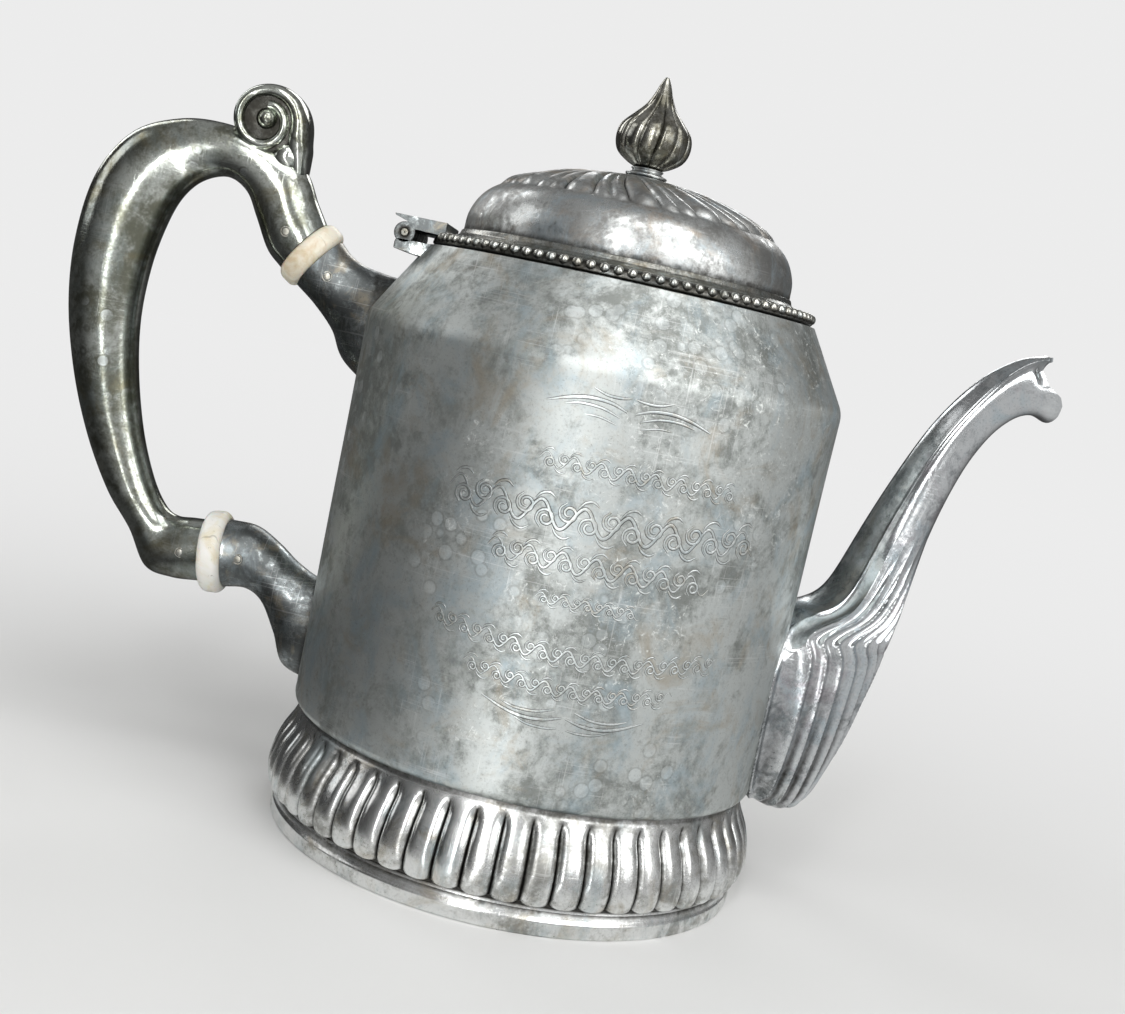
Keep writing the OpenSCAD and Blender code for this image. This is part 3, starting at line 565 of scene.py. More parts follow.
@dataclass(frozen=True)
class BoneFinish:
    """Aged bone: cream with stains, pores and hairline cracks."""

    slot: Slot = Slot.BONE
    pale: Colour = (0.80, 0.75, 0.62)
    amber: Colour = (0.62, 0.48, 0.28)
    pore: Colour = (0.20, 0.15, 0.10)
    bloom: Colour = (0.90, 0.88, 0.80)

    def material(self, name: str) -> bpy.types.Material:
        """Builds the finish: amber clouds, a pale bloom, pores, and cracks along the grain."""
        b = Board(name)
        cloud = b.noise(120, 5, 0.65, 0.6)
        colour = b.blend(b.band(cloud, 0.42, 0.72), self.pale, self.amber)
        bloom = b.band(b.noise(420, 4, 0.7), 0.5, 0.75, (0, 0.5))
        colour = b.blend(bloom, colour, self.bloom)
        pores = b.band(b.noise(1, 3, 0.7, 0, b.moved((900, 900, 900))), 0.64, 0.72)
        crack = b.band(b.noise(1, 2, 0.5, 1.2, b.moved((120, 1500, 120), (0, 0, 15))), 0.665, 0.69)
        marks = b.sums("MAXIMUM", pores, b.times(crack, 0.7))
        colour = b.blend(b.times(marks, 0.55), colour, self.pore)
        # Painted shade and dirt: the mesh's darkness pulls the colour to the pore colour at the
        # ring's edges.
        colour = b.blend(b.band(b.grime_and_shade(), 0.1, 1, (0, 0.85)), colour, self.pore)
        rough = b.band(cloud, 0.3, 0.7, (0.34, 0.55))
        normal = b.bump(marks, 0.25, -0.0002, b.bump(cloud, 0.2, 0.0006))
        return b.finish(colour, rough, normal, Subsurface_Weight=0.12, Subsurface_Scale=0.002,
                        Coat_Weight=0.15)


Finish = PlateFinish | BoneFinish

DRUM_PLATE = PlateFinish(
    Slot.BODY, clean=(0.60, 0.63, 0.615), tarnish=(0.27, 0.285, 0.27), stain=(0.41, 0.35, 0.26),
    film=(0.42, 0.52, 0.57), cover=0.45, gloss=0.41, dull=0.5, clouds=23, drops=0.5, crust=0.9,
    scratches=0.8)
CUT_PLATE = PlateFinish(
    Slot.BODY, clean=(0.78, 0.82, 0.81), tarnish=(0.46, 0.49, 0.48), cover=0.35, gloss=0.27,
    dull=0.42, clouds=60, scratches=0.2)
BASE_PLATE = PlateFinish(
    Slot.BASE, clean=(0.80, 0.81, 0.80), tarnish=(0.32, 0.32, 0.30), cover=0.42, gloss=0.15,
    dull=0.3, clouds=30, crust=0.3)
SPOUT_PLATE = PlateFinish(
    Slot.SPOUT, clean=(0.66, 0.68, 0.69), tarnish=(0.25, 0.27, 0.28), stain=(0.44, 0.39, 0.42),
    film=(0.48, 0.58, 0.63), cover=0.4, gloss=0.11, dull=0.22, clouds=30, crust=0.2)
SOCKET_PLATE = PlateFinish(
    Slot.DARK, clean=(0.50, 0.54, 0.54), tarnish=(0.13, 0.14, 0.14), film=(0.33, 0.38, 0.40),
    cover=0.6, gloss=0.14, dull=0.32, clouds=40)
HANDLE_PLATE = PlateFinish(
    Slot.HANDLE, clean=(0.66, 0.69, 0.64), tarnish=(0.20, 0.205, 0.16), stain=(0.28, 0.25, 0.15),
    film=(0.42, 0.48, 0.47), cover=0.52, gloss=0.06, dull=0.15, clouds=26, drops=0.9,
    scratches=0.4)
LID_PLATE = PlateFinish(
    Slot.LID, clean=(0.70, 0.72, 0.71), tarnish=(0.28, 0.28, 0.27), stain=(0.46, 0.38, 0.30),
    film=(0.50, 0.59, 0.64), cover=0.55, gloss=0.22, dull=0.4, clouds=34, crust=0.3)
BEAD_PLATE = PlateFinish(
    Slot.BEADS, clean=(0.58, 0.58, 0.54), tarnish=(0.20, 0.20, 0.175), gloss=0.14, dull=0.28,
    clouds=70)
FINIAL_PLATE = PlateFinish(
    Slot.FINIAL, clean=(0.48, 0.47, 0.42), tarnish=(0.12, 0.115, 0.09), stain=(0.18, 0.155, 0.10),
    film=(0.26, 0.27, 0.26), cover=0.55, gloss=0.08, dull=0.2, clouds=60)
PIN_METAL = PlateFinish(
    Slot.PIN, clean=(0.62, 0.60, 0.53), tarnish=(0.36, 0.35, 0.30), cover=0.45, gloss=0.3,
    dull=0.45, clouds=120)
UPPER_BONE = BoneFinish()
LOWER_BONE = BoneFinish(pale=(0.86, 0.85, 0.80), amber=(0.72, 0.64, 0.44))
_made: dict[Finish, bpy.types.Material] = {}


def material_of(finish: Finish) -> bpy.types.Material:
    """The finish's material, made once."""
    if finish not in _made:
        _made[finish] = finish.material(f"{finish.slot.value}_{len(_made)}")
    return _made[finish]


def link(thing: bpy.types.Object) -> bpy.types.Object:
    """Puts an object in the scene."""
    bpy.context.scene.collection.objects.link(thing)
    return thing


def place(name: str, mesh: bpy.types.Mesh, body: Body, finish: Finish,
          replaces: Sequence[str] = ()) -> bpy.types.Object:
    """Puts a finished mesh in the scene.

    Args:
        name: The piece's name.
        mesh: Its mesh, in place.
        body: The body that it moves with.
        finish: Its finish, which gives the slot too.
        replaces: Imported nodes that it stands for.

    Returns:
        The piece.
    """
    piece = link(bpy.data.objects.new(name, mesh))
    mesh.materials.clear()
    mesh.materials.append(material_of(finish))
    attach(piece, body.value)
    if replaces:
        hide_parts(*replaces)
    LOG.info("%s: %d faces on %s", name, len(mesh.polygons), body.value)
    return piece


def carved(mesh: bpy.types.Mesh, cutter: bpy.types.Mesh, sharp: float = 38) -> bpy.types.Mesh:
    """The mesh with the cutter's space taken out of it."""
    work = [link(bpy.data.objects.new(m.name, m)) for m in (mesh, cutter)]
    cut = work[0].modifiers.new("cut", "BOOLEAN")
    cut.operation, cut.object, cut.solver = "DIFFERENCE", work[1], "MANIFOLD"
    bpy.context.view_layer.update()
    graph = bpy.context.evaluated_depsgraph_get()
    out = bpy.data.meshes.new_from_object(work[0].evaluated_get(graph))
    out.name = mesh.name
    for o in work:
        bpy.data.objects.remove(o)
    out.shade_smooth()
    out.set_sharp_from_angle(angle=math.radians(sharp))
    return out


# ---- body ------------------------------------------------------------------


@dataclass
class Drum:
    """The pot's drum: straight wall, rounded shoulder and conical top."""

    low_r: float = 66.0
    high_r: float = 66.8
    bottom_z: float = 31.2
    shoulder_z: float = 138.5
    shoulder_round: float = 8.0
    corner_round: float = 2.6
    mouth_r: float = 54.3
    wall: float = 1.2
    cone: float = 31.0
    ledge_w: float = 3.0
    columns: int = 480
    hole_r: float = 1.6
    hole_pitch: float = 6.4
    hole_z: float = 60.0
    hole_rows: int = 5
    knocks: tuple = ((-38, 133, 0.32, 5), (-30, 126, 0.22, 6), (-48, 118, 0.16, 7),
                     (-97, 43, 0.2, 6), (-128, 96, 0.18, 9), (150, 110, 0.3, 8))
    line_z: float = 35.4
    line_deep: float = 0.16

    @property
    def rim_z(self) -> float:
        """Height of the mouth."""
        a = math.radians(self.cone)
        r = self.high_r - self.shoulder_round * (1 - math.cos(a))
        return (self.shoulder_z + self.shoulder_round * math.sin(a)
                + (r - self.mouth_r) / math.tan(a))

    def profile(self, inset: float, steps: int) -> Array:
        """Outline [radius, height] from the lower edge to the mouth, drawn in by inset."""
        low = (self.low_r - self.corner_round, self.bottom_z + self.corner_round)
        high = (self.high_r - self.shoulder_round, self.shoulder_z)
        corner = arc(low, self.corner_round - inset, -90, 0, 9)
        shoulder = arc(high, self.shoulder_round - inset, 0, self.cone, 10)
        top = (self.mouth_r - inset / math.cos(math.radians(self.cone)), self.rim_z)
        return np.vstack([corner, line(corner[-1], shoulder[0], steps)[1:],
                          shoulder, line(shoulder[-1], top, 14)[1:], [top]])

    def dents(self, angle: Array, z: Array) -> Array:
        """Unevenness of the old sheet metal in millimetres, none near its seams.

        It is the sum of three slow sine waves round and up the wall, less a few round dents.
        A dent is deep exp(-(distance / wide)^2), at an angle in degrees and a height.
        """
        total = (0.07 * np.sin(3 * angle + z / 29) + 0.05 * np.sin(5 * angle - z / 17 + 1)
                 + 0.035 * np.sin(9 * angle + z / 11 + 2))
        for a, h, deep, wide in self.knocks:
            gap = (angle - math.radians(a) + math.pi) % (2 * math.pi) - math.pi
            total -= deep * np.exp(-((gap * self.low_r / wide) ** 2) - ((z - h) / wide) ** 2)
        return total * smooth(34, 48, z) * (1 - smooth(148, 158, z))

    def radius(self, angle: Array, z: Array) -> Array:
        """Outer radius of the finished wall at a height."""
        p = self.profile(0, 60)
        return np.interp(z, p[:, 1], p[:, 0]) + self.dents(angle, z)

    def skin(self) -> bpy.types.Mesh:
        """The whole shell: outline out and back, turned about Z, dented, with a turned line."""
        inside = self.low_r - self.corner_round - self.ledge_w
        ledge = [[inside, self.bottom_z + self.wall], [inside, self.bottom_z]]
        outer, inner = self.profile(0, 90), self.profile(self.wall, 40)[::-1]
        grid = turned(np.vstack([ledge, outer, inner]), self.columns)
        x, y, z = np.moveaxis(grid, -1, 0)
        r, dents = np.hypot(x, y), self.dents(np.arctan2(y, x), z)
        cut = self.line_deep * np.exp(-(((z - self.line_z) / 0.4) ** 2))
        cut[:len(ledge)] = cut[len(ledge) + len(outer):] = 0
        # Painted shade and tarnish: the turned line and the lowest 2.2 mm of the wall, where the
        # drum meets the band, are darkened.
        grime_and_shade = cut * 3.5 + 0.5 * (1 - smooth(0, 2.2, z - self.bottom_z))
        grid[..., :2] *= ((r + dents - cut) / r)[..., None]
        return Surface().add(grid, grime_and_shade, loop=True).mesh("drum")

    def holes(self) -> bpy.types.Mesh:
        """Short rods along X that cut the strainer behind the spout, in a hexagon of rows."""
        s = Surface()
        rod = turned(np.array([[self.hole_r, 57.0], [self.hole_r, 70.0]]), 20)[..., [2, 0, 1]]
        middle = self.hole_rows // 2
        for row in range(self.hole_rows):
            count = self.hole_rows - abs(row - middle)
            z = self.hole_z + (row - middle) * self.hole_pitch * math.sin(math.radians(60))
            for i in range(count):
                s.add(rod + [0, (i - (count - 1) / 2) * self.hole_pitch, z])
        return s.mesh("holes")

    def core(self, inset: float = 0.45) -> bpy.types.Mesh:
        """The space inside the wall, to which soldered parts are cut."""
        p = self.profile(inset, 30)
        low = [[0.5, p[0, 1] + 0.3]]
        return Surface().add(turned(np.vstack([low, p, [[0.5, self.rim_z]]]), 240)).mesh("core")

    def build(self) -> None:
        """Makes the drum."""
        place("drum", carved(self.skin(), self.holes()), Body.POT, DRUM_PLATE, ["body_shell"])


@dataclass
class Engraving:
    """Running scrollwork on the front of the drum, as thin strokes a hair proud of it.

    The section of a stroke has rows of place across it, height in rises, and darkness: tarnish and
    painted shade along the stroke's edges.
    """

    drum: Drum
    centre: float = 8.5
    rise: float = 0.09
    stroke: float = 1.9
    section: tuple = ((-0.5, -0.1, 0.6), (-0.34, 0.6, 0.75), (-0.18, 0.9, 0), (0.18, 0.9, 0),
                      (0.34, 0.6, 0.75), (0.5, -0.1, 0.6), (0.0, -2.2, 1))
    rows: tuple = ((116.5, -19, 32, 6.6, 2.1, 0.0, 0.42), (105.0, -40, 42, 10.6, 3.9, -1.5, 0.62),
                   (93.0, -27, 30, 8.2, 2.9, 0.0, 0.52), (83.6, -13, 13, 5.4, 1.5, 0.0, 0.40),
                   (73.5, -38, 38, 6.8, 2.1, -3.2, 0.42), (64.0, -27, 27, 6.4, 1.9, -2.0, 0.42))

    def running(self, z: float, x0: float, x1: float, pitch: float, high: float, sag: float,
                width: float) -> list[tuple[Array, float]]:
        """One row: a waving stem with a curl in each hollow and a leaf at each crest.

        The stem is 0.8 high times a sine. A curl is a spiral of about 1.5 turns, whose radius
        falls from 0.66 high to 0.16 high. The whole row sags as a parabola.

        Args:
            z: Height of the row.
            x0: Start of the row round the drum, from the middle of the cut area.
            x1: End of the row.
            pitch: Length of one wave.
            high: Height of the waves.
            sag: How far the row's middle lies over its ends.
            width: Width of the stem's stroke.

        Returns:
            Strokes, each as points [round, up] and a width.
        """
        x = np.linspace(x0, x1, int((x1 - x0) / pitch * 8))
        stem = z + 0.8 * high * np.sin(2 * math.pi * (x - x0) / pitch)
        out = [(np.stack([x, stem], 1), width)]
        t = np.linspace(0, 1, 12)
        r, turn = high * mix(0.66, 0.16, t), math.radians(250) - t * 3.1 * math.pi
        for i in range(int((x1 - x0) / pitch * 2)):
            c, up = x0 + (i + 0.5) * pitch / 2, 1 - 2 * (i % 2)
            curl = polar(r, up * turn, 0)[:, :2] + [c + 0.15 * pitch, z - up * 0.3 * high]
            leaf = [c, z] + np.array([[-0.16, 0.75], [-0.04, 1.15], [0.14, 1.3], [0.3, 1.05]]) * [
                pitch, up * high]
            out += [(curl, width * 0.85), (leaf, width * 0.7)]
        middle, reach = (x0 + x1) / 2, (x1 - x0) / 2
        for p, _ in out:
            p[:, 1] += sag * (1 - ((p[:, 0] - middle) / reach) ** 2)
        return out

    def flourish(self) -> list[tuple[Array, float]]:
        """Long tapered strokes above and below the rows, each with its mirror image."""
        out = []
        for points, width in (
                ([[1, 131.2], [5, 132.6], [10, 132.9], [15, 132.0], [20.4, 130.2]], 0.6),
                ([[2.5, 129.6], [7, 131], [12, 131.2], [16, 130.4]], 0.45),
                ([[0.5, 134.6], [3, 134.2], [6.4, 134.3], [9.8, 135.4]], 0.45),
                ([[3, 127.8], [7, 128.8], [10.6, 128.8]], 0.35),
                ([[0.5, 55.4], [5, 54.2], [10, 54], [15, 55], [20.6, 57]], 0.6),
                ([[2.5, 57.2], [7, 55.9], [12, 55.8], [16, 56.8]], 0.45),
                ([[1, 52.6], [4, 52.2], [8.4, 52.4], [12, 53.6]], 0.4)):
            p = np.asarray(points, float)
            out += [(p, width), (p * [-1, 1], width)]
        return out

    def build(self) -> None:
        """Makes the strokes: rounded threads that taper to both ends, with tarnish and painted
        shade along their edges.
        """
        s = Surface()
        across, high, dirt_and_shade = np.array(self.section).T
        running = [stroke for row in self.rows for stroke in self.running(*row)]
        for points, width in self.flourish() + running:
            u = np.linspace(0, len(points) - 1, 4 * len(points))
            p = through(points, u)
            run = unit(np.gradient(p, axis=0))
            side = np.stack([-run[:, 1], run[:, 0]], 1)
            full = np.sin(math.pi * np.clip(u / u[-1] * 0.96 + 0.03, 0, 1)) ** 0.6
            w = self.stroke * width * (0.25 + 0.75 * full[:, None])
            flat = p[:, None] + side[:, None] * (across * w)[..., None]
            angle = (flat[..., 0] + self.centre) / self.drum.low_r - math.pi / 2
            lift = self.rise * high * (0.35 + 0.65 * w / width)
            grid = polar(self.drum.radius(angle, flat[..., 1]) + lift, angle, flat[..., 1])
            s.add(grid, np.broadcast_to(dirt_and_shade, grid.shape[:2]))
        place("engraved_scrolls", s.mesh("engraved_scrolls", 60), Body.POT, CUT_PLATE)


# ---- base ------------------------------------------------------------------


@dataclass
class GadroonBase:
    """The band of upright lobes under the drum, and the foot."""

    drum: Drum
    lobes: int = 56
    foot_r: float = 67.0
    shelf_z: float = 6.5
    lip_h: float = 4.6
    swell: float = 6.15
    depth: float = 1.9
    wall: float = 1.1
    per_lobe: int = 14
    round_low: float = 0.74
    round_high: float = 0.1

    @property
    def neck_r(self) -> float:
        """Radius of the plain neck above the lobes."""
        return self.drum.low_r - self.drum.corner_round

    def crest(self, v: Array) -> Array:
        """Profile over the middle of a lobe, for v from 0 at the neck to 1 at the shelf."""
        top = self.drum.bottom_z - 1.6
        rows = [[self.neck_r + self.swell * s, mix(self.shelf_z, top, h)]
                for s, h in ((0.05, 1), (0.31, 0.82), (0.74, 0.59), (1, 0.31), (0.86, 0.09))]
        rows.append([self.foot_r - 0.6, self.shelf_z + 0.5])
        return through(rows, v * (len(rows) - 1))

    def band(self) -> bpy.types.Mesh:
        """The band as one shell.

        With x from -1 to 1 across a lobe, the surface lies (1 - (1 - reach^3.4)^0.8) deep
        under the crest. The reach is |x| along the middle of the lobe. Past round_low and
        above round_high it also takes in the way along the lobe, so both ends are round and
        a flat three-sided field is left between two tongues.
        """
        n = self.lobes * self.per_lobe
        v = np.concatenate([np.linspace(0, 0.7, 26, endpoint=False), np.linspace(0.7, 1, 26)])
        x = (2 * (np.arange(n) % self.per_lobe) / self.per_lobe - 1)[None, :]
        down = np.clip((v - self.round_low) / 0.215, 0, 1.2)[:, None]
        up = np.clip((self.round_high - v) / 0.12, 0, 1.2)[:, None]
        under = 1 - np.clip(1 - np.sqrt(x**2 + down**2 + up**2) ** 3.4, 0, 1) ** 0.8
        crest = self.crest(v)
        way = unit(np.gradient(crest, axis=0))
        deep = (self.depth * smooth(0, 0.22, v) * (1 - 0.55 * smooth(0.78, 1, v)))[:, None]
        a = (circle(n) - math.pi / 2)[None, :]
        outer = polar(crest[:, :1] - under * deep * np.abs(way[:, 1:]), a,
                      crest[:, 1:] - under * deep * way[:, :1] * 0.6)
        edge, inset, z = self.neck_r, self.depth + self.wall, self.drum.bottom_z
        neck = np.array([[edge - 0.1, z + 0.1], [edge, z - 0.2], [edge, z - 1.2]])
        back = np.array([[self.foot_r - 0.8, self.shelf_z], [self.foot_r - 3.6, self.shelf_z],
                         [self.foot_r - 3.6, self.shelf_z + 1.4],
                         [edge + 0.9 * self.swell - inset, self.shelf_z + 5.7],
                         [edge + 0.81 * self.swell - inset, self.shelf_z + 11],
                         [edge - self.wall + 0.2, self.shelf_z + 19.6],
                         [edge - self.wall, z + 0.1]])
        grid = np.concatenate([polar(neck[:, :1], a, neck[:, 1:]), outer,
                               polar(back[:, :1], a, back[:, 1:])])
        # Tarnish and painted shade in the grooves between the lobes; painted shadow at the lobes'
        # upper ends and on the neck under the drum's edge.
        dirt_and_shade = np.zeros(grid.shape[:2])
        top = len(neck)
        dirt_and_shade[top:top + len(v)] = under**1.6 * 0.9 * smooth(0, 0.1, v)[:, None] + 0.35 * up
        dirt_and_shade[:top] = 0.55
        return Surface().add(grid, dirt_and_shade, loop=True).mesh("gadroon_band", 50)

    def foot(self) -> bpy.types.Mesh:
        """The foot: a shelf under the lobes and a rolled lip, turned about Z."""
        r, z, lip = self.foot_r, self.shelf_z, self.lip_h
        outline = rounded([
            [r - 7.5, z], [r - 7.5, z - 1.2], [r - 4.4, z - 1.2], [r - 2.6, lip - 1.2],
            [r - 2.6, 0], [r - 0.3, 0], [r, 1.2], [r, lip - 0.7], [r - 0.5, lip],
            [r - 1.1, z]], 0.5, 5)
        grid = turned(outline, 360)
        # Painted shade on the shelf under the lobes, rising from the lip.
        dirt_and_shade = 0.7 * smooth(self.lip_h - 0.2, self.shelf_z, grid[..., 2])
        return Surface().add(grid, dirt_and_shade, loop=True).mesh("foot")

    def build(self) -> None:
        """Makes the band and the foot."""
        place("gadroon_band", self.band(), Body.POT, BASE_PLATE, ["base_band"])
        place("foot", self.foot(), Body.POT, BASE_PLATE, ["foot_ring"])


# ---- spout -----------------------------------------------------------------


@dataclass
class Spout:
    """The hollow spout: a loft from its fluted root to its notched lip, with a ridge each side.

    The tables have one row for each station u, from 0 at the root's tip to 15 at the lip.
    Points of back and belly are [x, z] from the drum's wall and lower edge. A row of shape
    gives the ridge's and the widest point's place between belly (-1) and back (1), and the
    ridge's share of the half width. The lip's table has rows of angle from the back in
    degrees and how far the edge stands out there.
    """

    drum: Drum
    wall: float = 1.1
    droop: float = 2.0
    groove: float = 1.15
    channel: float = 1.5
    seam: float = 0.8
    around: int = 400
    ridge_at: float = 3.0
    widest_at: float = 6.0
    half_count: float = 20.0
    flare: float = 0.10
    bead: float = 0.4
    back: tuple = ((-16, 6.8), (-16, 7.8), (-16, 10.8), (-15.5, 22.8), (-12, 36.4),
                   (-7.5, 46.6), (-2.6, 53.8), (4.0, 57.2), (8.2, 61.8), (11.4, 70.4),
                   (15.6, 84.1), (23.3, 104.9), (29.5, 117), (37.2, 127.5), (45.9, 134.5),
                   (53.8, 137.4))
    belly: tuple = ((7.5, -4.2), (12.4, -3.6), (17.2, 0.8), (22.9, 17.3), (26.6, 33.8),
                    (28.8, 46.3), (29.8, 52.8), (30.4, 57.8), (31.0, 64.3), (31.7, 71.8),
                    (33.1, 83.3), (37.0, 99.1), (41.5, 109.7), (46.2, 116.4), (51.3, 119.9),
                    (58.2, 120.2))
    half: tuple = (9.5, 14, 17.6, 20.2, 20.6, 19.2, 17.9, 16.6, 14.8, 12.6, 9.9, 7.8, 7.0, 6.9,
                   7.2, 8.6)
    shape: tuple = ((.86, .45, .5), (.86, .45, .5), (.86, .45, .5), (.86, .5, .5),
                    (.84, .55, .52), (.76, .5, .6), (.66, .36, .68), (.58, .22, .74),
                    (.51, .12, .78), (.46, .05, .8), (.42, .02, .82), (.38, 0, .84),
                    (.38, 0, .84), (.48, .02, .8), (.72, .05, .67), (.9, .05, .58))
    first_w: tuple = (3.0, 5.0, 7.2, 9.0, 9.4, 8.6, 7.0, 5.6, 4.8, 4.2, 3.8, 3.6, 3.4, 3.2, 3.2,
                      3.2)
    even_w: tuple = (4.3, 4.4, 4.5, 4.6, 4.6, 4.5, 4.2, 3.8, 3.4, 3.0, 2.8, 2.6, 2.4, 2.4, 2.4,
                     2.4)
    lip: tuple = ((0, -1.7), (20, -1.0), (25, -0.4), (43, -4.4), (56, -2.2), (78, 0.3), (98, 0.9),
                  (130, 0.3), (160, -0.8), (180, -1.4))

    def stations(self, u: Array) -> Array:
        """[back x, back z, belly x, belly z, half width] along the spout."""
        at = np.array([self.drum.low_r, self.drum.bottom_z])
        rows = np.hstack([np.array(self.back) + at, np.array(self.belly) + at,
                          np.array(self.half)[:, None]])
        return through(rows, u)

    def section(self, k: Array, u: Array) -> tuple[Array, Array]:
        """Half section at point k (0 at the back, half_count at the belly).

        A hollow facet runs from the back to the ridge, a short curve from the ridge to the
        widest place, and a power of a cosine from there to the belly. The facet narrows at
        the crotch, and rises to the top of the section at the lip.

        Returns:
            Share of the half width, and place between belly (-1) and back (1).
        """
        ridge, wide, reach = np.split(through(np.array(self.shape), u[:, 0]), 3, axis=1)
        stops = (0, self.ridge_at, self.widest_at, self.half_count)
        facet, side, belly = (np.clip((k - a) / (b - a), 0, 1) for a, b in zip(stops, stops[1:]))
        side, belly = side * math.pi / 2, belly * math.pi / 2
        part = [k <= self.ridge_at, k <= self.widest_at]
        y = np.select(part, [reach * facet, mix(reach, 1, np.sin(side))], np.cos(belly) ** 0.85)
        x = np.select(part, [1 - (1 - ridge) * facet**1.6, mix(ridge, wide, 1 - np.cos(side))],
                      wide - (1 + wide) * np.sin(belly))
        return y, x

    def rings(self, u: Array, inset: Array) -> Array:
        """Plain rings of the outer skin, or of the bore where there is an inset.

        The lip and its flare come in over the last station. Round the crotch and above it,
        the sides lie lower than the back and the belly, by the square of their reach.
        """
        s = self.stations(u)
        back, belly, half = s[:, :2], s[:, 2:4], s[:, 4:5]
        long = np.linalg.norm(back - belly, axis=1, keepdims=True)
        up = (back - belly) / long
        out = np.stack([up[:, 1], -up[:, 0]], 1)
        u, inset = u[:, None], inset[:, None]
        at = np.arange(self.around) / self.around * 2 * self.half_count
        k = np.minimum(at, 2 * self.half_count - at)[None, :]
        side = np.where(at <= self.half_count, 1.0, -1.0)[None, :]
        y, x = self.section(k, u)
        angle = k * 180 / self.half_count
        lip = smooth(14.1, 15, u) * np.interp(angle, *np.array(self.lip).T)
        flare = 1 + self.flare * smooth(13.9, 15, u) ** 2 * smooth(50, 80, angle)
        mid = (back + belly) / 2
        reach = x * (long / 2 - inset) * np.where(x < 0, flare, 1)
        fall = self.droop * y**2 * smooth(2.5, 5.5, u) * (1 - smooth(6.5, 10, u))
        px = mid[:, :1] + up[:, :1] * reach + out[:, :1] * lip
        pz = mid[:, 1:] + up[:, 1:] * reach + out[:, 1:] * lip - fall
        return np.stack([px, side * y * flare * (half - inset), pz], -1)

    def clear_of_wall(self, side: Array, run: Array) -> Array:
        """Arc on each half ring where the flutes start: at the drum's wall, or at the ridge."""
        half = side.shape[1] - 1
        gap = np.hypot(side[..., 0], side[..., 1]) - self.drum.low_r - 0.3
        met = (gap < 0).any(1)
        last = np.where(met, half - np.argmax(gap[:, ::-1] < 0, 1), 0)
        row, more = np.arange(len(run)), np.minimum(last + 1, half)
        share = -gap[row, last] / np.maximum(gap[row, more] - gap[row, last], 1e-6)
        wall = np.where(met, mix(run[row, last], run[row, more], np.clip(share, 0, 1)), 0)
        start = np.maximum(wall, run[:, self.ridge_column])
        soft = np.exp(-(np.arange(-12, 13) / 6.0) ** 2)
        return np.convolve(np.pad(start, 12, "edge"), soft / soft.sum(), "valid")[:, None]

    @property
    def ridge_column(self) -> int:
        """Column of the ridge on a ring."""
        return round(self.ridge_at / self.half_count * self.around / 2)

    def fluted(self, grid: Array, u: Array) -> tuple[Array, Array]:
        """Cuts the flutes into the outer skin.

        On each ring, s is the arc from where the flutes start. A wide channel comes first,
        sin^0.8 deep, and then even flutes with sharp ridges between them, |sin|^0.8 deep.
        Both fade out on the neck. A raised seam follows the wall, and a fine bead the ridge.

        Returns:
            Moved points, and how dark each is painted: tarnish and painted shade in the flutes and
            the wide channel, and painted shade along the seam at the wall.
        """
        half = self.around // 2
        side = grid[:, :half + 1]
        step = np.linalg.norm(np.diff(side, axis=1), axis=2)
        run = np.concatenate([np.zeros((len(u), 1)), np.cumsum(step, 1)], 1)
        s = run - self.clear_of_wall(side, run)
        first, even = (through(np.array(w)[:, None], u) for w in (self.first_w, self.even_w))
        u = u[:, None]
        phase = (s - first) / even
        flutes = np.where(phase > 0, np.abs(np.sin(math.pi * phase)) ** 0.8, 0)
        flutes *= self.groove * (1 - smooth(7.6, 10.2, u)) * even / 4.3
        hollow = np.sin(math.pi * np.clip(s / first, 0, 1)) ** 0.8
        wide = np.where((s > 0) & (phase < 0), hollow, 0)
        wide *= self.channel * np.minimum(1, first / 7) * (1 - smooth(7.5, 10.5, u))
        edge = run - run[:, self.ridge_column, None]
        bead = self.bead * np.exp(-((edge / 0.5) ** 2)) * smooth(5.6, 7.2, u)
        seam = self.seam * np.exp(-(((s - 0.3) / 0.75) ** 2)) * (1 - smooth(4.6, 6.2, u))
        cut = (flutes + wide) * smooth(-0.2, 0.9, u) - seam - bead
        # Painted darkness: tarnish and painted shade in the flutes and the wide channel near the
        # root, painted shade in the crease along the drum's wall.
        deep = np.clip((flutes / self.groove) ** 2 * (0.2 + 0.45 * smooth(4.8, 2, u))
                       + 0.4 * smooth(1.4, 0, np.abs(s)) * smooth(6.5, 5.5, u) * (s < 0.2)
                       + 0.5 * wide / self.channel * smooth(5, 2.5, u), 0, 1)
        cut, deep = (np.concatenate([v, v[:, half - 1:0:-1]], 1) for v in (cut, deep))
        around = np.roll(grid, -1, 1) - np.roll(grid, 1, 1)
        normal = unit(np.cross(around, np.gradient(grid, axis=0)))
        away = grid - grid.mean(1, keepdims=True)
        outward = np.sign((normal * away).sum((1, 2), keepdims=True))
        return grid - normal * outward * cut[..., None], deep

    def build(self) -> None:
        """Makes the spout: out along the outer skin and back down the bore."""
        steps = ((0, 3, 60), (3, 9, 130), (9, 14, 80))
        u = np.concatenate([*(np.linspace(a, b, n, endpoint=False) for a, b, n in steps),
                            np.linspace(14, 15, 16)])
        v = np.linspace(15, 1.8, 50)
        plain = eased(self.rings(u, np.zeros_like(u)), smooth(10.5, 12.5, u))
        skin, grime_and_shade = self.fluted(plain, u)
        bore = self.rings(v, self.wall + 2.2 * (1 - smooth(4, 9, v)))
        bore[..., 2] -= 1.6 * (smooth(4.4, 5.6, v) * (1 - smooth(7.4, 8.6, v)))[:, None]
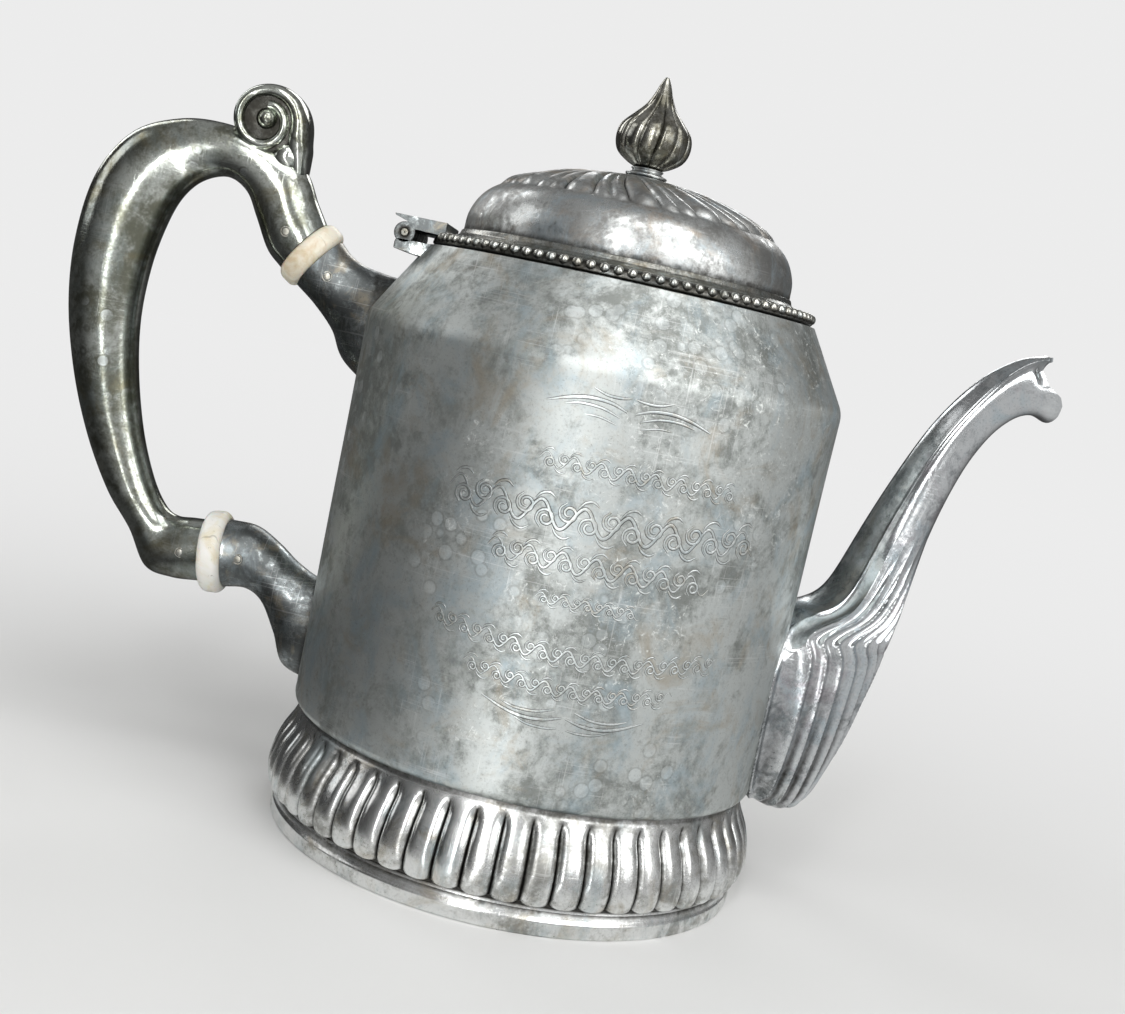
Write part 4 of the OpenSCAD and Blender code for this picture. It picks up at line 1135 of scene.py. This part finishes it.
        # Painted shade inside the bore, fading out at the lip.
        bore_shade = np.full(bore.shape[:2], 0.7) * smooth(15, 14.4, v)[:, None]
        both = Surface().add(np.concatenate([skin, bore]), np.concatenate([grime_and_shade, bore_shade]))
        mesh = carved(both.mesh("fluted_spout", 42), self.drum.core(), 42)
        place("fluted_spout", mesh, Body.POT, SPOUT_PLATE, ["spout"])


# ---- handle ----------------------------------------------------------------


@dataclass
class Ring:
    """Place of an insulating ring in the XZ plane."""

    at: tuple[float, float]
    slope: float
    d: float
    thick: float = 6.6
    spigot: float = 8.2

    def end(self, side: int, r: float) -> list[float]:
        """Edges and half width of a tube where it meets the ring; side 1 is the body's."""
        along, square = slope_axes(self.slope)
        c = np.array(self.at) + side * self.thick / 2 * along
        return [*(c + square * r), *(c - square * r), r]

    def pin(self, side: int) -> Array:
        """Centre of the cross pin on a side."""
        along, _ = slope_axes(self.slope)
        return np.array(self.at) + side * (self.thick / 2 + self.spigot * 0.6) * along


UPPER_RING = Ring((-86.0, 151.9), -35.4, 20.2)
LOWER_RING = Ring((-96.6, 64.3), 6.1, 23.4)


@dataclass
class Handle:
    """Scroll handle, its sockets on the drum, the rings between and the cross pins.

    A row of line or of a socket gives opposite edges [x, z, x, z] and a half width. A row of
    spiral gives angle in degrees, outer radius, half thickness and half width. A row of a
    pin's head gives radius, height over its seat, and darkness: painted shade and dirt.
    """

    drum: Drum
    neck_r: float = 8.7
    arm_r: float = 8.8
    upper_r: float = 8.6
    lower_r: float = 9.6
    volute_at: tuple[float, float] = (-104.3, 185.4)
    fill_at: tuple[float, float] = (-97.6, 176.4)
    line: tuple = (
        (-98.4, 150.9, -87.0, 166.0, 8.4), (-103.0, 158.8, -92.5, 174.5, 8.0),
        (-107.0, 165.2, -104.0, 180.0, 7.6), (-113.0, 168.0, -116.5, 182.2, 7.4),
        (-119.8, 165.4, -129.0, 180.8, 7.8), (-124.6, 159.6, -141.0, 174.6, 8.4),
        (-127.6, 151.0, -149.0, 161.5, 8.8), (-129.7, 139.0, -151.63, 143.5, 8.8),
        (-130.0, 124.5, -150.4, 125.3, 8.2), (-127.8, 109.4, -145.6, 106.5, 7.5),
        (-123.4, 93.4, -138.6, 89.5, 6.9), (-118.0, 80.9, -130.2, 75.2, 6.4),
        (-113.2, 74.0, -122.0, 65.6, 6.4), (-109.4, 72.0, -115.6, 56.0, 7.3),
        (-104.6, 72.4, -107.6, 54.4, 8.5))
    spiral: tuple = ((-60, 24.0, 5.6, 3.0), (-46, 18.6, 5.2, 5.4), (-28, 14.6, 4.2, 6.6),
                     (0, 11.8, 2.95, 7.0), (90, 9.8, 2.15, 7.0), (180, 9.7, 2.1, 7.0),
                     (270, 9.0, 2.0, 7.0), (360, 6.8, 1.9, 7.0), (450, 5.5, 1.8, 6.9))
    web_r: float = 8.9
    web_w: float = 10.6
    ball: tuple[float, float] = (3.8, 8.2)
    fill: tuple[float, float] = (5.2, 6.6)
    top_rows: tuple = ((-74.6, 153.8, -82.6, 138.8, 8.2), (-69.5, 151.9, -76.4, 132.8, 8.8),
                       (-61, 150.8, -71.6, 125.2, 11), (-52, 150.6, -60, 117.4, 13.5))
    low_rows: tuple = ((-86.4, 74.0, -86.0, 55.9, 8.9), (-79.2, 70.4, -80.8, 53.0, 8.3),
                       (-73.0, 66.2, -75.8, 45.0, 8.8), (-66.0, 63.0, -71.4, 36.6, 10.5),
                       (-57, 61.2, -61, 33.4, 12.5))
    head: tuple = ((0.05, 0.78, 0), (0.6, 0.76, 0), (0.92, 0.68, 0.1), (1.02, 0.5, 0.9),
                   (1.12, 0.5, 0.9), (1.2, 0.66, 0.25), (1.36, 0.66, 0.2), (1.5, 0.5, 0.6),
                   (1.5, 0.0, 1), (0.9, 0.0, 1))
    core_r: float = 4.2
    edge_round: float = 2.4

    def grip(self) -> bpy.types.Mesh:
        """The handle: an oval tube along its line, a spiral roll, a web and two ellipsoids."""
        first = UPPER_RING.end(-1, self.neck_r)
        rows = [[*first[2:4], *first[:2], first[4]], *self.line, LOWER_RING.end(-1, self.arm_r)]
        s = Surface().add(ovals(through(rows, np.linspace(0, len(rows) - 1, 300)), 64))
        turn, r, thick, wide = np.split(
            through(self.spiral, np.linspace(0, len(self.spiral) - 1, 220)), 4, axis=1)
        ray = np.hstack([np.cos(np.radians(turn)), np.sin(np.radians(turn))])
        roll = np.hstack([self.volute_at + ray * (r - 2 * thick), self.volute_at + ray * r, wide])
        s.add(ovals(roll, 40, power=2.4))
        half = self.web_w / 2
        web = rounded([[0.3, -half], [self.web_r, -half], [self.web_r, half], [0.3, half]], 0.4)
        # The web between the roll's turns is painted dark: painted shade in the recess.
        s.add(turned_y(self.volute_at, web, 72), np.full((len(web), 72), 0.8), loop=True)
        t = np.linspace(0.05, math.pi - 0.05, 24)
        for at, (round_r, long_r) in ((self.volute_at, self.ball), (self.fill_at, self.fill)):
            s.add(turned_y(at, np.stack([round_r * np.sin(t), long_r * np.cos(t)], 1), 40))
        return s.mesh("scroll_handle")

    def socket(self, ring: Ring, r: float, rows: Sequence, name: str) -> bpy.types.Mesh:
        """A socket: an oval tube from its ring into the drum, cut to the drum's wall."""
        tube = ovals(through([ring.end(1, r), *rows], np.linspace(0, len(rows), 90)), 64)
        gap = np.hypot(tube[..., 0], tube[..., 1]) - self.drum.low_r
        # Painted shade in the crease where the socket meets the drum's wall.
        return carved(Surface().add(tube, 0.6 * (1 - smooth(0.0, 2.2, gap))).mesh(name),
                      self.drum.core())

    def ring(self, ring: Ring, name: str) -> bpy.types.Mesh:
        """A ring with its spigots, turned about the ring's axis, with worn edges."""
        h, end = ring.thick / 2, ring.thick / 2 + ring.spigot
        core, bend, r = self.core_r, self.edge_round, ring.d / 2 - self.edge_round
        spigot = [[core, h - 0.02], [core, end - 0.4], [core - 0.4, end], [0.2, end]]
        half = np.vstack([arc((r, h - bend), bend, 0, 90, 9), spigot])
        profile = np.vstack([half[::-1] * [1, -1], half])
        grid = turned_about(ring.at, ring.slope, profile, 96)
        body = slice(len(spigot), -len(spigot))
        centre = np.array([ring.at[0], 0, ring.at[1]])
        worn = 1 - 0.012 * np.abs(wobble(grid[body], 7, 9))
        grid[body] = centre + (grid[body] - centre) * worn[..., None]
        dirt_and_shade = np.zeros(grid.shape[:2])
        # Painted shade and dirt on the ring's faces where they meet the tubes.
        dirt_and_shade[body][[0, 1, -2, -1]] = 0.7
        return Surface().add(grid, dirt_and_shade).mesh(name)

    def pin(self, ring: Ring, side: int, seat: float, name: str) -> bpy.types.Mesh:
        """A cross pin with low domed heads, turned about Y."""
        # grey: painted shade and dirt in the groove round the head and at its seat.
        r, high, grey = np.array(self.head).T
        half = np.stack([r, high + seat], 1)
        grid = turned_y(ring.pin(side), np.vstack([half, half[::-1] * [1, -1]]), 28)
        dirt_and_shade = np.broadcast_to(np.append(grey, grey[::-1])[:, None], grid.shape[:2])
        return Surface().add(grid, dirt_and_shade).mesh(name)

    def build(self) -> None:
        """Makes the handle and all that carries it."""
        place("scroll_handle", self.grip(), Body.POT, HANDLE_PLATE, ["handle"])
        for name, ring, r, rows, node in (
                ("top_socket", UPPER_RING, self.upper_r, self.top_rows, "upper_socket"),
                ("low_socket", LOWER_RING, self.lower_r, self.low_rows, "lower_socket")):
            place(name, self.socket(ring, r, rows, name), Body.POT, SOCKET_PLATE, [node])
        for name, ring, bone, node in (
                ("top_bone_ring", UPPER_RING, UPPER_BONE, "upper_insulator"),
                ("low_bone_ring", LOWER_RING, LOWER_BONE, "lower_insulator")):
            place(name, self.ring(ring, name), Body.POT, bone, [node])
        for ring, side, seat, node in ((UPPER_RING, -1, self.neck_r - 0.9, "upper_handle_pin"),
                                       (UPPER_RING, 1, self.upper_r - 1.0, "upper_socket_pin"),
                                       (LOWER_RING, -1, self.arm_r - 0.9, "lower_handle_pin"),
                                       (LOWER_RING, 1, self.lower_r - 1.1, "lower_socket_pin")):
            place(f"{node}_rivet", self.pin(ring, side, seat, node), Body.POT, PIN_METAL, [node])


# ---- lid -------------------------------------------------------------------


@dataclass
class Lid:
    """Domed lid with swirled lobes, beaded rim and bulb finial."""

    drum: Drum
    gap: float = 0.3
    rim_inset: float = 0.2
    rim_w: float = 8.2
    bead_d: float = 2.7
    beads: int = 96
    dome_h: float = 24.4
    groups: int = 13
    swirl: float = 24.0
    first_lobe: float = -93.2
    per_group: int = 44
    wide_share: float = 0.476
    lobe_h: float = 1.9
    collar_h: float = 2.4
    bulb_r: float = 10.5
    bulb_h: float = 25.2
    bulb_lobes: int = 12
    bulb_per_lobe: int = 16
    bulb_swirl: float = 24.0
    hinge_w: float = 30.0

    @property
    def rim_r(self) -> float:
        """Outer radius of the rim."""
        return self.drum.mouth_r - self.rim_inset

    @property
    def bead_z(self) -> float:
        """Height of the beads' centres."""
        return self.drum.rim_z + self.gap + 0.5 + self.bead_d / 2

    @property
    def dome_r(self) -> float:
        """Radius of the dome at the rim."""
        return self.rim_r - self.rim_w

    @property
    def dome_z(self) -> float:
        """Height where the dome stands on the rim."""
        return self.bead_z + self.bead_d / 2 + 2.6

    @property
    def top_z(self) -> float:
        """Height of the dome's top."""
        return self.dome_z + self.dome_h

    def dome(self) -> bpy.types.Mesh:
        """The dome.

        Its profile is turned about Z and raised by groups of one wide and two narrow lobes,
        which lean round as they near the collar. With x from -1 to 1 across a lobe, its
        height is 1 - reach^2.4, where reach takes in x and, near the outer end, the distance
        along the lobe, so the end is round.
        """
        rows = [[4.6, self.top_z], *([self.dome_r * s, self.top_z - self.dome_h * d] for s, d in (
            (0.423, 0.107), (0.71, 0.295), (0.858, 0.443), (0.941, 0.59), (0.991, 0.795), (1, 1)))]
        n = self.groups * self.per_group
        steps = np.concatenate([np.linspace(0, 4.4, 110), np.linspace(4.5, 6, 24)])
        profile = through(rows, steps)
        r, plain = profile[:, :1], profile[:, 1:]
        share = (np.arange(n) / self.per_group % 1.0)[None, :]
        wide, narrow = self.wide_share, (1 - self.wide_share) / 2
        big = share < wide
        x = np.where(big, 2 * share / wide, 2 * ((share - wide) / narrow % 1.0)) - 1
        end, tip = self.dome_r * 0.862, np.where(big, 4.6, 2.6)
        reach = np.sqrt(x**2 + np.clip((r - end + tip) / tip, 0, 2) ** 2)
        lobe = np.clip(1 - reach**2.4, 0, 1)
        high = self.lobe_h * np.where(big, 1, 0.66) * smooth(6, 33, r) ** 1.3
        valley = (1 - lobe) ** 4 * smooth(8, 24, r) * (1 - smooth(end - 5, end, r))
        lift = high * (lobe - 0.35) * (1 - smooth(end - 3, end, r) * (1 - lobe)) - 0.25 * valley
        z = plain + lift * (1 - smooth(end, end + 0.6, r))
        turn = -self.swirl * (1 - np.minimum(1, r / (self.dome_r * 0.855)))
        a = circle(n)[None, :] + np.radians(turn + self.first_lobe)
        # Tarnish and painted shade in the valleys between lobes; painted shade at the dome's foot,
        # by the rim.
        dirt_and_shade = np.maximum(0.75 * valley, 0.65 * smooth(self.dome_z + 2.6, self.dome_z, z))
        thick = [[3.0, 1.3], [0.1, 1.9], [0.6, 1.9], [0.8, 1.9], [1.2, 1.4], [1.4, 0.7], [1.1, 0]]
        wall = through(np.array(rows) - thick, np.linspace(6, 0, 26))
        grid = np.concatenate([polar(r, a, z), polar(wall[:, :1], a[-1:], wall[:, 1:])])
        # Painted shade under the lid, on the inside of the wall.
        dirt_and_shade = np.concatenate([dirt_and_shade, np.full((len(wall), n), 0.4)])
        return Surface().add(grid, dirt_and_shade, loop=True).mesh("lobed_dome", 55)

    def rim(self) -> bpy.types.Mesh:
        """The rim: a moulded ring turned about Z, with a row of round beads on it."""
        under = self.drum.rim_z + self.gap
        h = self.bead_d / 2
        bead_r, top, inner = self.rim_r - h, self.bead_z + h, self.dome_r - 1.1
        grid = turned(rounded([
            [inner, under], [bead_r, under], [bead_r + 0.7, under + 0.5],
            [bead_r + 0.4, self.bead_z], [bead_r - 0.4, top - 0.6], [bead_r - 1.6, top - 0.6],
            [bead_r - 2.2, top - 0.1], [self.dome_r + 2.4, top + 0.3],
            [self.dome_r + 0.9, top + 1.2], [self.dome_r + 0.4, self.dome_z],
            [inner, self.dome_z]], 0.3), 288)
        r = np.hypot(grid[..., 0], grid[..., 1])
        # Painted shade round the beads' seat and at the inner edge by the dome.
        near = 1 - smooth(0.6, 2.2, np.abs(r - bead_r + 0.6))
        s = Surface().add(grid, 0.95 * near + 0.4 * (r < self.dome_r + 1.2), loop=True)
        t = np.linspace(0.18, math.pi - 0.18, 9)[:, None]
        bead = polar(h * np.sin(t), circle(14), h * np.cos(t))
        # Painted shade on the lower half of each bead.
        low = 0.9 * (1 - smooth(-0.75 * h, 0.25 * h, bead[..., 2]))
        for a in circle(self.beads) + math.pi / self.beads:
            x, y = bead_r * math.cos(a), bead_r * math.sin(a)
            if x > 0 or abs(y) >= self.hinge_w / 2 + 0.6:
                s.add(bead + [x, y, self.bead_z], low)
        return s.mesh("beaded_rim")

    def bulb(self) -> bpy.types.Mesh:
        """The finial: a bulb with a long point, ribbed by lobes that turn as they rise.

        With x from 0 at a lobe's middle to 1 between two lobes, the valley is x^4.5 deep.
        """
        rows = [[self.bulb_r * s, self.bulb_h * h] for s, h in (
            (0.34, 0), (0.61, 0.05), (0.9, 0.145), (1, 0.285), (0.93, 0.43), (0.66, 0.56),
            (0.42, 0.67), (0.26, 0.79), (0.16, 0.9), (0.067, 0.985), (0.02, 1))]
        p = through(rows, np.linspace(0, len(rows) - 1, 90))
        p[:, 0] = np.maximum(p[:, 0], 0.15)
        n = self.bulb_lobes * self.bulb_per_lobe
        x = np.abs(2 * (np.arange(n) % self.bulb_per_lobe) / self.bulb_per_lobe - 1)[None, :]
        swell = smooth(2.0, 7, p[:, :1])
        a = circle(n) + math.radians(self.bulb_swirl) * p[:, 1:] / self.bulb_h
        grid = polar(p[:, :1] - 0.8 * swell * x**4.5, a, self.top_z + self.collar_h + p[:, 1:])
        # Tarnish and painted shade in the valleys between the lobes.
        return Surface().add(grid, swell * x**12 * 0.6).mesh("bulb_finial", 60)

    def collar(self) -> bpy.types.Mesh:
        """The collar under the finial, turned about Z."""
        z, up = self.top_z, self.top_z + self.collar_h
        outline = rounded([
            [1.6, z - 0.2], [4.6, z - 0.2], [5.8, z + 0.2], [5.8, z + 0.8], [4.4, z + 1.2],
            [4.0, up - 0.7], [4.6, up - 0.3], [4.4, up], [1.6, up]], 0.3)
        return Surface().add(turned(outline, 96), loop=True).mesh("finial_foot")

    def build(self) -> None:
        """Makes the lid."""
        place("lobed_dome", self.dome(), Body.LID, LID_PLATE, ["lid_dome"])
        place("beaded_rim", self.rim(), Body.LID, BEAD_PLATE, ["lid_bead_moulding"])
        place("bulb_finial", self.bulb(), Body.LID, FINIAL_PLATE, ["finial"])
        place("finial_foot", self.collar(), Body.LID, LID_PLATE, ["finial_collar"])


@dataclass
class Hinge:
    """Two leaves with knuckles on one pin behind the lid."""

    drum: Drum
    x: float = 60.0
    rise: float = 1.6
    width: float = 30.0
    knuckles: int = 5
    knuckle_r: float = 2.86
    gap: float = 0.3
    pin_r: float = 1.0
    leaf_in: float = 49.0

    @property
    def at(self) -> tuple[float, float]:
        """The pin's place as [x, z]."""
        return -self.x, self.drum.rim_z + self.rise

    def rods(self, s: Surface, first: int) -> None:
        """Adds every second knuckle: a rod with eased ends, turned about Y."""
        step, r, bore = self.width / self.knuckles, self.knuckle_r, self.pin_r + 0.05
        for i in range(first, self.knuckles, 2):
            y0 = -self.width / 2 + i * step + self.gap / 2
            y1 = y0 + step - self.gap
            profile = rounded([[bore, y0], [r, y0], [r, y1], [bore, y1]], 0.25)
            # Painted shade on the knuckles' inner faces, round the pin.
            dirt_and_shade = np.broadcast_to(0.8 * (profile[:, :1] < bore + 0.45), (len(profile), 40))
            s.add(turned_y(self.at, profile, 40), dirt_and_shade, loop=True)

    def build(self) -> None:
        """Makes both leaves and the pin."""
        x, z = self.at
        rim, top, inner = self.drum.rim_z, z + self.knuckle_r + 1.7, -self.leaf_in
        fixed = [[x - 2.2, rim - 3], [-51.6, rim - 4.2], [-51.6, rim - 0.15],
                 [x - 1.6, rim - 0.15], [x - 2.2, rim - 0.9]]
        moving = [[x - 3.2, top - 0.5], [x - 3.5, top], [inner, top + 0.2], [inner, z + 1.1],
                  [x + 2, z + 1.1], [x, top - 1.4]]
        for first, (name, outline, bend, body, node) in enumerate((
                ("fixed_leaf", fixed, 0.4, Body.POT, "body_hinge_leaf"),
                ("lid_leaf", moving, 0.35, Body.LID, "lid_hinge_leaf"))):
            leaf = Surface().add(bar_y(rounded(outline, bend), self.width - self.gap))
            self.rods(leaf, first)
            place(name, leaf.mesh(name), body, SOCKET_PLATE, [node])
        end, r = self.width / 2, self.pin_r
        rod = rounded([[0.1, -end], [r, -end], [r, end], [0.1, end]], 0.2)
        mesh = Surface().add(turned_y(self.at, rod, 28), loop=True).mesh("hinge_rod")
        place("hinge_rod", mesh, Body.POT, PIN_METAL, ["hinge_pin"])


@dataclass
class Fittings:
    """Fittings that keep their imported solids: inside the pot and under the lid."""

    nodes: dict[str, bpy.types.Object]
    finishes: tuple = (("bottom_plate", DRUM_PLATE), ("mouth_ring", DRUM_PLATE),
                       ("lid_bezel", LID_PLATE), ("finial_stud", PIN_METAL),
                       ("finial_washer", PIN_METAL), ("finial_nut", PIN_METAL))

    def build(self) -> None:
        """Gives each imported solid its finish."""
        for name, finish in self.finishes:
            slots = self.nodes[name].data.materials
            slots.clear()
            slots.append(material_of(finish))
            LOG.info("%s keeps its packed solid", name)


# ---- studio ----------------------------------------------------------------


@dataclass
class Studio:
    """Pale floor, soft lamps, surroundings with a dim side, and the camera.

    A lamp has a name, azimuth and elevation in degrees, distance, width and height, and
    power. The stripe is a bright band that only mirrors see on the floor in front: its
    azimuth and half width in degrees, and its level.
    """

    floor_r: float = 9.0
    pale: Colour = (0.80, 0.80, 0.79)
    backdrop: float = 0.84
    near: float = 0.16
    far: float = 2.6
    eye: tuple[float, float, float] = (-0.00113, -0.42527, 0.14832)
    turn: tuple[float, float, float] = (83.111, -12.311, 1.718)
    lens: float = 48.54
    lamps: tuple = (("key", -60, 28, 1.25, (0.45, 0.75), 3.4),
                    ("handle_strip", -99, 24, 1.25, (0.16, 1.0), 4.6),
                    ("right_panel", -34, 24, 1.2, (0.45, 0.8), 3.0),
                    ("left_panel", -176, 24, 1.2, (0.5, 0.8), 1.4),
                    ("rear", 82, 30, 1.3, (0.8, 0.3), 2.6),
                    ("top", -66, 64, 1.2, (0.9, 0.5), 3.2),
                    ("back_panel", 140, 30, 1.3, (0.3, 0.8), 2.4))
    lamps_aim: tuple[float, float, float] = (0, 0, 0.1)
    bright_way: tuple[float, float, float] = (0.64, -0.77, 0)
    side_levels: tuple[float, float] = (0.05, 0.52)
    zenith: float = 0.26
    floor_seen: float = 1.15
    stripe: tuple[float, float, float] = (-99, 4.2, 4.6)

    def toned(self, b: Board, way: Socket, most: float = 1.0) -> Socket:
        """Level of the surroundings in a direction: bright to the front right, dim to the left.

        It is a smooth step between two levels along the direction's share of the bright way,
        which falls to about half towards the top, plus a soft light round the zenith.
        """
        side = b.dot(way, self.bright_way)
        rise = b.dot(way, (0, 0, 1))
        level = b.band(side, -0.4, 0.95, tuple(most * v for v in self.side_levels))
        above = b.band(rise, 0.35, 0.9, (0, self.zenith))
        return b.plus(b.times(level, b.band(rise, 0.1, 1.0, (1.0, 0.55))), above)

    def mirrored_floor(self, b: Board) -> bpy.types.Node:
        """What the metal sees of the floor: the surroundings' tone and the bright stripe.

        The stripe is a radial band in front of the pot. Its level steps up over 0.6 of its
        half width, by the sine of the angle between a place's direction and its azimuth.
        """
        way = b.node("ShaderNodeVectorMath", {0: b.place}, operation="NORMALIZE").outputs[0]
        azimuth, half = (math.radians(v) for v in self.stripe[:2])
        across = b.sums("ABSOLUTE", b.dot(way, (-math.sin(azimuth), math.cos(azimuth), 0)), 0)
        front = b.band(b.dot(way, (0, 1, 0)), -0.6, -0.8)
        band = b.band(across, math.sin(half), 0.4 * math.sin(half), (0, self.stripe[2]))
        strength = b.plus(self.toned(b, way, self.floor_seen), b.times(front, band))
        return b.node("ShaderNodeEmission", {"Color": (1, 1, 1, 1), "Strength": strength})

    def floor(self) -> None:
        """A round floor.

        To the camera it fades into the backdrop with the inverse of the distance. Glossy rays
        that land clear of the pot see mirrored_floor, and all other rays see pale paper.
        """
        r = np.array([0.02, 0.3, 1.0, 3.0, self.floor_r]) / MM
        top, under = np.stack([r, 0 * r], 1), np.stack([r[::-1], 0 * r - 20], 1)
        mesh = Surface().add(turned(np.vstack([top, under]), 96)).mesh("floor")
        b = Board("floor")
        away = b.node("ShaderNodeVectorMath", {0: b.place}, operation="LENGTH").outputs["Value"]
        colour = b.blend(b.band(b.noise(6, 3, 0.5), 0.3, 0.7), self.pale,
                         tuple(v * 0.985 for v in self.pale))
        paper = b.node("ShaderNodeBsdfDiffuse", {"Color": colour})
        shown = b.node("ShaderNodeEmission", {"Color": (*[self.backdrop] * 3, 1)})
        ray = b.node("ShaderNodeLightPath").outputs
        fade = b.band(b.sums("DIVIDE", 1.0, away), 1 / self.far, 1 / self.near, (1, 0))
        mirror = b.times(ray["Is Glossy Ray"], b.band(away, 0.07, 0.16))
        seen = b.node("ShaderNodeMixShader", {
            0: mirror, 1: paper.outputs[0], 2: self.mirrored_floor(b).outputs[0]})
        seen = b.node("ShaderNodeMixShader", {
            0: b.times(ray["Is Camera Ray"], fade), 1: seen.outputs[0], 2: shown.outputs[0]})
        b.node("ShaderNodeOutputMaterial", {"Surface": seen.outputs[0]})
        mesh.materials.append(b.material)
        link(bpy.data.objects.new("floor", mesh))

    def sky(self) -> None:
        """Surroundings: pale to the camera, toned to everything else."""
        world = bpy.data.worlds.new("studio")
        bpy.context.scene.world = world
        world.use_nodes = True
        b = Board("sky", world.node_tree)
        way = b.node("ShaderNodeTexCoord").outputs["Generated"]
        level = b.node("ShaderNodeMix", {
            0: b.node("ShaderNodeLightPath").outputs["Is Camera Ray"], 2: self.toned(b, way),
            3: self.backdrop})
        back = b.node("ShaderNodeBackground", {0: level.outputs[0], 1: 1.0})
        b.node("ShaderNodeOutputWorld", {0: back.outputs[0]})

    def lights(self) -> None:
        """Large soft lamps, turned to the pot's middle."""
        for name, turn, rise, away, size, power in self.lamps:
            data = bpy.data.lights.new(name, "AREA")
            data.shape, data.size, data.size_y, data.energy = "RECTANGLE", *size, power
            lamp = link(bpy.data.objects.new(name, data))
            a, e = math.radians(turn), math.radians(rise)
            way = Vector((math.cos(a) * math.cos(e), math.sin(a) * math.cos(e), math.sin(e)))
            lamp.location = Vector(self.lamps_aim) + way * away
            lamp.rotation_euler = (-way).to_track_quat("-Z", "Y").to_euler()

    def camera(self) -> None:
        """The camera, at the height, tilt and roll of the view."""
        data = bpy.data.cameras.new("camera")
        data.lens, data.sensor_width, data.clip_start = self.lens, 36.0, 0.01
        cam = link(bpy.data.objects.new("camera", data))
        cam.location = self.eye
        cam.rotation_euler = [math.radians(v) for v in self.turn]
        bpy.context.scene.camera = cam

    def build(self) -> None:
        """Sets the whole stage."""
        self.floor()
        self.sky()
        self.lights()
        self.camera()
        bpy.context.scene.view_settings.view_transform = "Standard"


def main() -> None:
    """Builds the pot's looks piece by piece."""
    logging.basicConfig(level=logging.INFO, format="%(name)s %(message)s")
    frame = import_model()
    drum = Drum()
    parts = (drum, Engraving(drum), GadroonBase(drum), Spout(drum), Handle(drum), Lid(drum),
             Hinge(drum), Fittings(frame["nodes"]), Studio())
    for part in parts:
        part.build()


if __name__ == "__main__":
    main()
